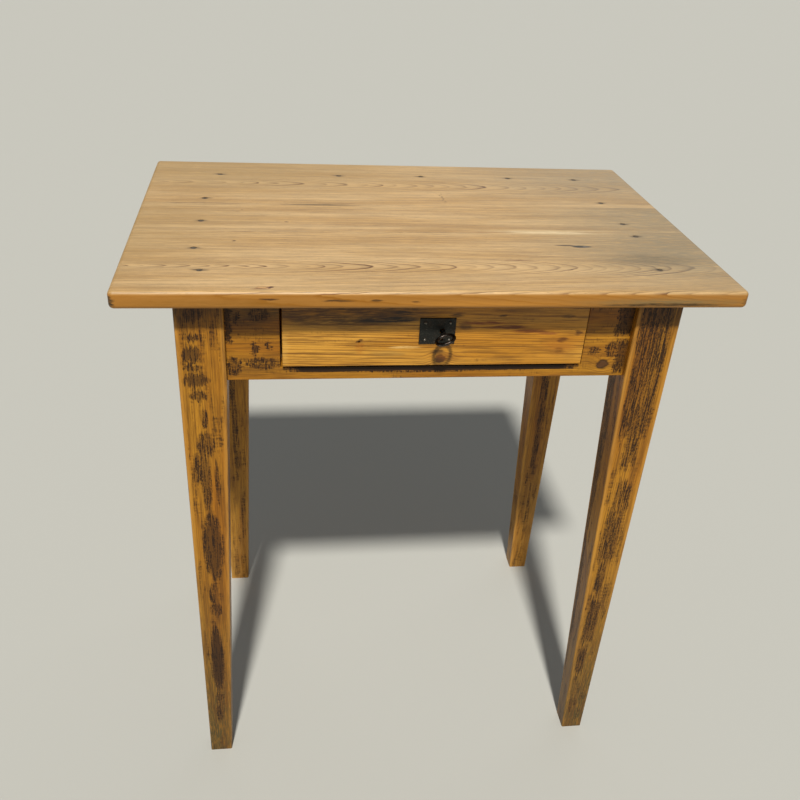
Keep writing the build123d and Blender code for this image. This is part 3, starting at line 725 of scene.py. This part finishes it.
def face_marks(y: float, depth: float, rows: Iterable[tuple]) -> tuple[Mark, ...]:
    """Marks on an upright face that looks along Y.

    Args:
        y: the face's place, in millimetres.
        depth: how far the marks reach into the wood.
        rows: for each mark its X, its Z, its half width and half height, its colour, and then its strength,
            its fade and whether it is square, as far as they differ from a mark's own.

    Returns:
        The marks, in the order of the rows.
    """
    return tuple(Mark((x, y, z), (wide, depth, high), *rest) for x, z, wide, high, *rest in rows)


def flat_marks(z: float, rows: Iterable[tuple]) -> tuple[Mark, ...]:
    """Marks on a level face.

    Args:
        z: the face's height, in millimetres.
        rows: for each mark its X, its Y, its half length, half width and depth, its colour, and then its
            strength and fade, as far as they differ from a mark's own.

    Returns:
        The marks, in the order of the rows.
    """
    return tuple(Mark((x, y, z), (long, wide, deep), *rest) for x, y, long, wide, deep, *rest in rows)


def paint_patches(y: float, depth: float, rows: Iterable[tuple]) -> tuple[Mark, ...]:
    """Patches of old paint on an upright face, some of them painted shade: the rows of face_marks, without a
    colour.
    """
    return face_marks(y, depth, ((*row[:4], STAIN, *row[4:]) for row in rows))


def centres_of_solids(node: str, apart: float) -> list[Vector]:
    """The middle of each separate solid of a CAD node, seen from above.

    Args:
        node: the node's name.
        apart: the least distance between two solids, in metres.

    Returns:
        One point for each solid, in metres.
    """
    groups: list[list[Vector]] = []
    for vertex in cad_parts[node].data.vertices:
        for group in groups:
            if (group[0].xy - vertex.co.xy).length < apart:
                group.append(vertex.co)
                break
        else:
            groups.append([vertex.co])
    middles = []
    for group in groups:
        xs, ys = [p.x for p in group], [p.y for p in group]
        middles.append(Vector(((min(xs) + max(xs)) / 2, (min(ys) + max(ys)) / 2, max(p.z for p in group))))
    return middles


def span_at_floor(node: str) -> tuple[Vector, Vector]:
    """The lowest and highest corner of a leg's foot, in metres.

    Args:
        node: the leg's name.

    Returns:
        Both corners.
    """
    low = [v.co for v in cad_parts[node].data.vertices if v.co.z < MM]
    return (Vector((min(p.x for p in low), min(p.y for p in low), 0)),
            Vector((max(p.x for p in low), max(p.y for p in low), 0)))


def dress(node: str, material: bpy.types.Material) -> None:
    """Give a CAD node one material in place of its own.

    Args:
        node: the node's name.
        material: its new finish.
    """
    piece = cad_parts[node]
    piece.data.materials.clear()
    piece.data.materials.append(material)
    log.info("dressed %s in %s", node, material.name)


@dataclass
class TableTop:
    """The three glued boards of the top and the nails through them. Millimetres."""

    nail_halo: Triple = (12.0, 5.0, 6.0)
    halo_colour: str = "#57472f"
    edge_colour: str = "#a2680c"
    edge_fade: Pair = (4.5, 1.2)
    nails_apart: float = 20.0

    def joint_streak(self, surface: float) -> tuple[Mark, ...]:
        """The pale streak along the joint of the front and middle boards, with two brown wedges in it.

        Args:
            surface: the top's height, in millimetres.

        Returns:
            The streak's marks.
        """
        return flat_marks(surface, (
            (165, -47.5, 125, 9.5, 5, "#dfc89c", 0.85, 0.9),
            (86, -48.5, 44, 2.6, 5, "#96703f", 0.85, 0.6),
            (226, -46.5, 50, 3.0, 5, "#94744a", 0.9, 0.6),
        ))

    def front_knots(self, surface: float) -> tuple[Knot, ...]:
        """The front board's two knots: a crescent near the left end and a grey one near the right.

        Args:
            surface: the top's height, in millimetres.

        Returns:
            The knots.
        """
        return (
            Knot((-187, -212, surface), (7.5, 3.4, 6), "#bf9560", "#a27a4c", 1.5),
            Knot((187, -93, surface), (12, 3.4, 6), "#7d705d", "#2f2a26", 1.5),
        )

    def front_marks(self, surface: float, joint: tuple[Mark, ...]) -> tuple[Mark, ...]:
        """The front board's stains: broad tones, the joint, the knots' dark parts, then its front edge.

        Args:
            surface: the top's height, in millimetres.
            joint: the streak that it shares with the middle board.

        Returns:
            The board's marks.
        """
        broad = flat_marks(surface, (
            (330, -100, 270, 190, 12, "#86795f", 0.95, 0.95),
            (-380, -60, 230, 190, 12, "#9b7f50", 0.6, 0.95),
            (262, -132, 80, 28, 8, "#72644a", 0.8, 0.9),
        ))
        small = flat_marks(surface, (
            (187, -93.5, 13, 4.2, 6, "#35302a", 1.3, 0.5),
            (190, -93.5, 6, 1.4, 6, "#8a8272", 0.8, 0.5),
            (167, -89.5, 15, 2.8, 6, "#4d4235", 1.1, 0.6),
            (-180.5, -211.5, 3.6, 3.2, 6, "#553120", 1.4, 0.5),
            (-190, -215, 11, 1.6, 6, "#6a4428", 1.2, 0.5),
            (-221, -83, 4, 2.2, 4, "#4a3626", 1.3),
            (100, -136, 26, 2.0, 4, "#7a5836", 0.9, 0.5),
            (-200, -53.5, 110, 2.0, 4, "#5f4426", 0.95, 0.5),
            (-20, -50.5, 100, 2.0, 4, "#5f4426", 0.9, 0.5),
        ))
        edge = (
            Mark((-341, -222, 738), (7, 9, 11), "#38280f", 1.0, 0.6),
            Mark((-230, -223, 737), (150, 6, 7), "#80560f", 0.5, 0.9),
            Mark((-181, -223, 742), (14, 4, 1.6), "#4c2c0c", 1.0),
            Mark((-110, -223, 740), (22, 4, 1.6), "#4c2f0c", 1.0),
            Mark((-70, -223, 740.5), (9, 4, 1.6), "#4c2f0c", 1.0),
            Mark((-28, -223, 739), (7, 4, 1.5), "#4c2f0c", 0.9),
            Mark((40, -223, 736), (120, 6, 6), "#c18430", 0.5, 0.9),
            Mark((250, -223, 738), (140, 6, 7), "#7a6640", 0.9, 0.9),
            Mark((245, -223, 735), (90, 4, 2.6), "#45300f", 1.0),
            Mark((341, -222, 738), (8, 9, 11), "#5a3c18", 0.8, 0.6),
        )
        return broad + joint + small + edge

    def middle_marks(self, surface: float, joint: tuple[Mark, ...]) -> tuple[Mark, ...]:
        """The middle board's stains: broad tones, the joint, a dark smear and two specks.

        Args:
            surface: the top's height, in millimetres.
            joint: the streak that it shares with the front board.

        Returns:
            The board's marks.
        """
        broad = flat_marks(surface, (
            (350, 0, 290, 190, 12, "#86795f", 0.85, 0.95),
            (-380, 0, 260, 190, 12, "#9b7f50", 0.6, 0.95),
        ))
        small = flat_marks(surface, (
            (-118, 43, 72, 4.2, 5, "#6b5a3c", 0.95, 0.8),
            (-262, 44.5, 60, 1.2, 4, "#6f5230", 0.8, 0.5),
            (-162, -20, 3.6, 2.0, 4, "#4a3626", 1.2),
            (-215, 21, 2.4, 1.4, 4, "#5a4632", 0.8),
        ))
        return broad + joint + small

    def back_marks(self, surface: float) -> tuple[Mark, ...]:
        """The back board's stains: broad tones, a scratch across the grain and a line at the joint.

        Args:
            surface: the top's height, in millimetres.

        Returns:
            The board's marks.
        """
        return flat_marks(surface, (
            (330, 170, 380, 190, 12, "#8d7f66", 0.8, 0.95),
            (-250, 190, 420, 170, 12, "#9b8052", 0.7, 0.95),
            (47, 75, 1.6, 30, 4, "#6d5436", 0.85, 0.8),
            (-120, 49.5, 70, 1.3, 4, "#6f5230", 0.7, 0.5),
        ))

    def dress(self) -> None:
        """Dress the boards and the nails."""
        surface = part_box("top_board_front")[1].z / MM
        edge = (self.edge_colour, surface - self.edge_fade[0], surface - self.edge_fade[1])
        nails = centres_of_solids("top_nails", self.nails_apart * MM)
        joint = self.joint_streak(surface)
        boards = {
            "top_board_front": (
                Grain(GrainAxis.X, (-156.0, 713.0), 0.095, 2.1, 1.2, 0.6, 1.0, 1.3),
                self.front_knots(surface),
                self.front_marks(surface, joint),
            ),
            "top_board_middle": (
                Grain(GrainAxis.X, (420.0, 700.0), 0.012, 3.0, 3.6, 0.4, 2.0),
                (),
                self.middle_marks(surface, joint),
            ),
            "top_board_back": (
                Grain(GrainAxis.X, (126.0, 706.0), 0.085, 2.2, 1.4, 0.6, 3.0, 1.3),
                (),
                self.back_marks(surface),
            ),
        }
        for node, (grain, knots, marks) in boards.items():
            low, high = (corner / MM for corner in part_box(node))
            halos = tuple(
                Mark(tuple(nail / MM), self.nail_halo, self.halo_colour, 1.0, 0.9)
                for nail in nails if low.y < nail.y / MM < high.y
            )
            board = PineBoard("waxed_pine_" + node, grain, TOP_PINE, knots, marks + halos, edge_tint=edge)
            dress(node, board.build())
        dress("top_nails", TOP_NAIL_IRON.build())


@dataclass
class Base:
    """The four legs and four aprons, in scraped and oiled pine. Millimetres."""

    taper_start: float = 625.0
    # Painted shade on the front legs' feet and painted light on the back legs' feet reach this high; both
    # marks are this wide.
    foot_shade_and_light_height: float = 470.0
    under_top: float = 748.0
    # The painted shade under the top reaches this far down a leg's head.
    under_top_shade_reach: float = 60.0
    painted_light_width: float = 90.0
    paint_depth: float = 30.0
    back_paint_depth: float = 40.0
    back_face_inset: float = 35.0
    thin_paint: float = 0.5
    apron_paint: float = 0.62

    def front_face(self) -> float:
        """Where the front of the front legs is, in millimetres."""
        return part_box("front_left_leg")[0].y / MM

    def leg_shape(self, node: str) -> LegShape:
        """Read a leg's outer corner and widths from the model.

        Args:
            node: the leg's name.

        Returns:
            The leg's shape.
        """
        low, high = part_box(node)
        foot_low, foot_high = span_at_floor(node)
        corner = tuple((high[i] if high[i] > 0 else low[i]) / MM for i in (0, 1))
        top = tuple((high[i] - low[i]) / MM for i in (0, 1))
        foot = tuple((foot_high[i] - foot_low[i]) / MM for i in (0, 1))
        return LegShape(corner, top, foot, self.taper_start)

    def front_left_paint(self) -> PaintRemains:
        """Blotches near the top, then a broken band down the middle of the face.

        Returns:
            The leg's paint.
        """
        return PaintRemains(paint_patches(self.front_face(), self.paint_depth, (
            (-261, 712, 16, 13, 1.00),
            (-264, 684, 15, 6, 1.05),
            (-266, 664, 15, 13, 1.15, 0.5),
            (-266, 648, 14, 6, 1.00),
            (-263, 631, 19, 12, 1.15, 0.5),
            (-262, 611, 14, 9, 1.00),
            (-257, 580, 5, 18, 0.95),
            (-257, 545, 15, 24, 1.00),
            (-268, 512, 7, 30, 0.95),
            (-260, 496, 9, 62, 1.10),
            (-247, 488, 4, 44, 1.00),
            (-258, 390, 16, 68, 1.15, 0.45),
            (-263, 312, 5, 26, 0.90),
            (-260, 283, 12, 17, 1.00),
            (-263, 190, 10, 78, 1.20, 0.4),
            (-264, 114, 7, 13, 0.95),
            (-265, 81, 7, 26, 0.85),
        )), everywhere=self.thin_paint, comb=18.0)

    def front_right_paint(self) -> PaintRemains:
        """A dense comb of streaks down most of the face, and a dark back edge on the inner face.

        Returns:
            The leg's paint.
        """
        face = paint_patches(self.front_face(), self.paint_depth, (
            (253, 690, 23, 62, 0.95, 0.3),
            (255, 615, 22, 90, 0.92, 0.35, True),
            (258, 520, 14, 34, 0.70, 0.6, True),
            (262, 449, 15, 34, 0.90, 0.6, True),
            (258, 385, 15, 62, 0.92, 0.6, True),
            (257, 311, 9, 44, 0.85, 0.6, True),
            (259, 228, 11, 56, 1.05, 0.5, True),
            (257, 148, 9, 34, 1.00, 0.5, True),
        ))
        inside = (
            Mark((241, -152, 540), (40, 24, 260), STAIN, 0.95, 0.35),
            Mark((248, -160, 230), (24, 16, 240), STAIN, 0.70, 0.35),
        )
        return PaintRemains(face + inside, everywhere=self.thin_paint)

    def back_paint(self, middle: float, density: float) -> PaintRemains:
        """A dark streak down the face of a back leg that shows between the front legs.

        Args:
            middle: the streak's X, in millimetres.
            density: how dense the paint is there.

        Returns:
            The leg's paint.
        """
        face = -self.front_face() - self.back_face_inset
        return PaintRemains(paint_patches(face, self.back_paint_depth, (
            (middle, 500, 11, 190, density, 0.5),
            (middle + 3, 320, 7, 130, 0.8 * density, 0.5),
            (middle + 7, 150, 3, 80, 0.7 * density, 0.6),
        )), everywhere=self.thin_paint)

    def dress(self) -> None:
        """Dress the legs and the aprons."""
        legs = {
            "front_left_leg": (self.front_left_paint(), (-395.0, -150.0), 0.010),
            "front_right_leg": (self.front_right_paint(), (395.0, -160.0), -0.012),
            "back_left_leg": (self.back_paint(-250.0, 0.72), (-380.0, 120.0), 0.008),
            "back_right_leg": (self.back_paint(258.0, 0.95), (390.0, 130.0), -0.010),
        }
        for number, (node, (paint, pith, slope)) in enumerate(legs.items()):
            grain = Grain(GrainAxis.Z, pith, slope, 2.7, 2.0, 0.35, 4.0 + number)
            shape = self.leg_shape(node)
            # The foot mark is painted light: painted shade that darkens the front legs towards the floor, and
            # painted light on the back legs' lit lower part.
            foot_shade_and_light, tone = (1.0, "#443b1c") if "front" in node else (0.6, "#b58a45")
            foot, head = (*shape.corner, 0), (*shape.corner, self.under_top)
            wide = (self.painted_light_width, self.painted_light_width)
            painted_light_marks = (
                Mark(foot, (*wide, self.foot_shade_and_light_height), tone, foot_shade_and_light, 0.95),
                # Painted shade at the head of each leg, under the top's overhang.
                Mark(head, (*wide, self.under_top_shade_reach), "#2e210b", 0.85, 0.4),
            )
            board = PineBoard("oiled_pine_" + node, grain, LEG_PINE, marks=painted_light_marks, paint=paint, leg=shape)
            dress(node, board.build())
        self.dress_front_apron()
        plain = {
            "back_apron": Grain(GrainAxis.X, (250.0, 560.0), 0.01, 3.1, 4.0, 0.7, 9.0),
            "left_apron": Grain(GrainAxis.Y, (-300.0, 560.0), 0.02, 3.0, 4.0, 0.7, 10.0),
            "right_apron": Grain(GrainAxis.Y, (300.0, 540.0), -0.02, 3.2, 4.0, 0.7, 11.0),
        }
        for node, grain in plain.items():
            paint = PaintRemains(everywhere=self.apron_paint)
            dress(node, PineBoard("oiled_pine_" + node, grain, LEG_PINE, paint=paint).build())

    def front_apron_paint(self, y: float) -> PaintRemains:
        """Dark remains at both ends of the front apron, a dark line under the drawer that is dirt with the
        painted shadow of the drawer front over it, and painted shade on the notch's right cheek.

        Args:
            y: the apron's front face, in millimetres.

        Returns:
            The apron's paint.
        """
        notch_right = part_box("drawer_front")[1].x / MM + NOTCH_GAP
        patches = paint_patches(y, STAIN_DEPTH, (
            (222, 702, 15, 30, 1.15, 0.5, True),
            (226, 652, 12, 28, 1.15, 0.5, True),
            (213, 661, 12, 13, 0.95, 0.4),
            (190, 659, 10, 7, 0.85),
            (219, 643, 6, 4, 0.85),
            (-193, 706, 17, 11, 0.95),
            (-227, 702, 5, 36, 1.15, 0.4, True),
            (-217, 702, 4, 12, 1.0),
            (-222, 643, 12, 16, 1.02, 0.5),
            (-190, 646, 26, 10, 0.98, 0.6),
            (-199, 665, 6, 13, 1.15),
            (-184, 668, 5, 9, 0.70),
            # Dirt with painted shadow under the drawer front, along the notch's bottom edge.
            (3, 640, 180, 5.6, 1.6, 0.2, True),
            (-20, 635, 110, 3, 0.85, 0.6),
        ))
        # Painted shade on the notch's right cheek, just behind the face, so the gap beside the drawer shows
        # dark.
        painted_shade_cheek = Mark((notch_right, y + 12.5, 690), (14, 10, 60), STAIN, 1.8, 0.2, True)
        return PaintRemains((*patches, painted_shade_cheek), everywhere=0.30, streak=(1.4, 8.0), comb=16.0)

    def dress_front_apron(self) -> None:
        """The notched front board, with its knot near the right leg and painted shade in its upper corners
        under the top.
        """
        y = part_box("front_apron")[0].y / MM
        board = PineBoard(
            "oiled_pine_front_apron",
            Grain(GrainAxis.X, (-60.0, 520.0), 0.012, 2.8, 3.0, 0.6, 8.0),
            LEG_PINE,
            (Knot((204, y, 641.0), (6.6, 12, 6.2), "#5f3f24", "#1e1008", 1.8),),
            face_marks(y, STAIN_DEPTH, (
                # Painted shade under the top's overhang, at both ends above the drawer.
                (-205, 718, 60, 32, "#352812", 0.8, 0.45),
                (200, 722, 40, 26, "#5e4120", 0.5, 0.6),
            )),
            self.front_apron_paint(y),
        )
        dress("front_apron", board.build())


@dataclass
class Drawer:
    """The drawer, its runners and guides."""

    front_grain: Grain = Grain(GrainAxis.X, (-150.0, 905.0), 0.02, 3.1, 2.2, 0.22, 12.0)
    thin_paint: float = 0.2

    def dress_front(self) -> None:
        """The oiled front: a knot below the keyhole, a red-brown streak, dark smears, and painted shade along
        its top under the overhang.
        """
        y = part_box("drawer_front")[0].y / MM
        marks = face_marks(y, STAIN_DEPTH, (
            # Painted shade under the top's overhang; the darker left one is painted shade over old stain.
            (-100, 716, 130, 30, "#3c240a", 0.9, 0.45),
            (110, 722, 110, 30, "#5a3717", 0.5, 0.6),
            (-62, 703, 42, 5, "#1d1106", 0.95),
            (-40, 702, 30, 4, "#150c04", 0.95),
            (-35, 711, 14, 3, "#2a1808", 0.8),
            (24, 708, 10, 4, "#2a180b", 0.85),
            (34, 695, 9, 7, "#4a2a10", 0.7),
            (56, 698.0, 32, 2.6, "#7a4012", 1.2, 0.6),
            (82, 692.5, 32, 2.8, "#6f3a10", 1.3, 0.6),
            (108, 687.5, 30, 2.8, "#7f4714", 1.3, 0.6),
            (128, 685.0, 18, 2.6, "#945a22", 1.3, 0.6),
            (-84, 676.3, 4.4, 3.4, "#1c0e05", 1.2, 0.6),
            (146, 668, 30, 17, "#a8661a", 0.65, 0.9),
            (147, 676, 8, 4, "#6b3d0c", 1.0),
            (147, 663, 9, 5, "#784608", 0.9),
            (165, 685, 6, 4.5, "#50300f", 0.95),
            (150, 706, 8, 3.6, "#33200c", 0.8),
            (75, 707, 6, 3, "#33200c", 0.8),
            (-83, 668, 6, 11, "#b9711c", 0.6),
            (-33, 668, 24, 2.4, "#dfb871", 0.8),
            (-52, 660, 26, 5, "#b18a44", 0.5),
            (14, 655, 24, 10, "#7a4712", 0.8, 0.9),
            (4, 663, 10, 5, "#3a220c", 0.8, 0.7),
            (-166, 668, 6, 30, "#d8a850", 0.5, 0.8),
        ))
        knot = Knot((8, y, 653), (6.4, 8, 5.6), "#2a170a", "#140a04", 1.8)
        paint = PaintRemains(everywhere=self.thin_paint)
        front = PineBoard("oiled_pine_drawer_front", self.front_grain, FRONT_PINE, (knot,), marks, paint)
        dress("drawer_front", front.build())

    def dress_inside(self) -> None:
        """The bare inside pieces, each from its own board."""
        inner = {
            "drawer_left_side": Grain(GrainAxis.Y, (-60.0, 560.0), 0.02, 2.6, 4.0, 0.7, 13.0),
            "drawer_right_side": Grain(GrainAxis.Y, (60.0, 540.0), -0.02, 2.8, 4.0, 0.7, 14.0),
            "drawer_back": Grain(GrainAxis.X, (120.0, 580.0), 0.02, 2.7, 4.0, 0.7, 15.0),
            "drawer_bottom_front": Grain(GrainAxis.X, (-90.0, 600.0), 0.05, 3.2, 5.0, 0.9, 16.0),
            "drawer_bottom_back": Grain(GrainAxis.X, (60.0, 600.0), -0.05, 3.0, 5.0, 0.9, 17.0),
            "left_runner": Grain(GrainAxis.Y, (-160.0, 560.0), 0.01, 2.9, 3.0, 0.6, 18.0),
            "right_runner": Grain(GrainAxis.Y, (160.0, 560.0), 0.01, 2.9, 3.0, 0.6, 19.0),
            "left_guide": Grain(GrainAxis.Y, (-200.0, 560.0), 0.01, 2.7, 3.0, 0.6, 20.0),
            "right_guide": Grain(GrainAxis.Y, (200.0, 560.0), 0.01, 2.7, 3.0, 0.6, 21.0),
        }
        for node, grain in inner.items():
            dress(node, PineBoard("bare_pine_" + node, grain, INNER_PINE).build())

    def dress(self) -> None:
        """Dress the whole drawer."""
        self.dress_front()
        self.dress_inside()


@dataclass
class Lock:
    """The keyhole plate, the lock behind it, the key and the small nails."""

    small_nails: tuple[str, ...] = ("guide_nails", "drawer_bottom_nails")
    works: tuple[str, ...] = ("lock_case", "lock_cap", "lock_bolt", "lock_screws")

    def dress(self) -> None:
        """Dress the ironwork."""
        for nodes, finish in (
            (self.small_nails, NAIL_IRON),
            (("keyhole_plate",), BLACK_PLATE),
            (("keyhole_plate_nails",), NAIL_STEEL),
            (self.works, LOCK_IRON),
            (("key",), KEY_STEEL),
        ):
            iron = finish.build()
            for node in nodes:
                dress(node, iron)


@dataclass
class Studio:
    """The floor, the light and the camera. Metres and degrees."""

    camera_place: Triple = (-0.1658, -1.0431, 1.1274)
    camera_turn: float = -8.77
    camera_tilt: float = 58.5
    camera_roll: float = 3.72
    focal_length: float = 39.3
    floor_radius: float = 25.0
    key_direction: Triple = (-0.06, -0.566, 0.822)
    key_strength: float = 4.1
    key_spread: float = 4.2
    key_colour: Triple = (1.0, 0.97, 0.92)
    fill_direction: Triple = (0.25, 0.75, 0.6)
    fill_strength: float = 0.5
    fill_spread: float = 70.0
    fill_colour: Triple = (0.94, 0.97, 1.0)
    sky_strength: float = 0.16
    sky_colour: str = "#eef1f4"
    floor_colour: str = "#b2b2ab"

    def camera(self) -> None:
        """Place the camera."""
        data = bpy.data.cameras.new("camera")
        data.lens = self.focal_length
        camera = bpy.data.objects.new("camera", data)
        bpy.context.scene.collection.objects.link(camera)
        turn, tilt, roll = (math.radians(a) for a in (self.camera_turn, self.camera_tilt, self.camera_roll))
        camera.rotation_mode = "QUATERNION"
        camera.rotation_quaternion = (
            Euler((0, 0, turn)).to_quaternion()
            @ Euler((tilt, 0, 0)).to_quaternion()
            @ Euler((0, 0, roll)).to_quaternion()
        )
        camera.location = self.camera_place
        data.clip_start = 0.01
        bpy.context.scene.camera = camera

    def floor(self) -> None:
        """Lay a plain pale floor."""
        mesh = bpy.data.meshes.new("floor")
        disc = bmesh.new()
        bmesh.ops.create_circle(disc, cap_ends=True, segments=96, radius=self.floor_radius)
        disc.to_mesh(mesh)
        disc.free()
        floor = bpy.data.objects.new("floor", mesh)
        bpy.context.scene.collection.objects.link(floor)
        sheet = NodeSheet("pale_plaster_floor")
        shader = sheet.add("BsdfPrincipled", {"Base Color": linear(self.floor_colour), "Roughness": 0.9})
        mesh.materials.append(sheet.finish(shader))

    def lamp(self, name: str, direction: Triple, strength: float, spread: float, colour: Triple) -> None:
        """Hang one distant lamp.

        Args:
            name: the lamp's name.
            direction: from the table towards the lamp.
            strength: its strength.
            spread: how wide it looks, in degrees; wider is softer.
            colour: its linear colour.
        """
        data = bpy.data.lights.new(name, "SUN")
        data.energy = strength
        data.angle = math.radians(spread)
        data.color = colour
        lamp = bpy.data.objects.new(name, data)
        lamp.rotation_mode = "QUATERNION"
        lamp.rotation_quaternion = Vector(direction).to_track_quat("Z", "Y")
        bpy.context.scene.collection.objects.link(lamp)

    def light(self) -> None:
        """A high key light from the front, a broad soft one from behind, and an even sky."""
        self.lamp("key_light", self.key_direction, self.key_strength, self.key_spread, self.key_colour)
        self.lamp("fill_light", self.fill_direction, self.fill_strength, self.fill_spread, self.fill_colour)
        world = bpy.data.worlds.new("studio")
        bpy.context.scene.world = world
        world.use_nodes = True
        background = world.node_tree.nodes["Background"]
        background.inputs["Color"].default_value = linear(self.sky_colour)
        background.inputs["Strength"].default_value = self.sky_strength

    def build(self) -> None:
        """Build the whole stage."""
        self.camera()
        self.floor()
        self.light()
        bpy.context.scene.view_settings.view_transform = "Standard"
        log.info("stage ready")


def main() -> None:
    """Dress the table, piece by piece, and light it."""
    logging.basicConfig(level=logging.INFO, format="%(name)s: %(message)s")
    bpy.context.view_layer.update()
    Studio().build()
    for part in (TableTop(), Base(), Drawer(), Lock()):
        part.dress()


if __name__ == "__main__":
    main()
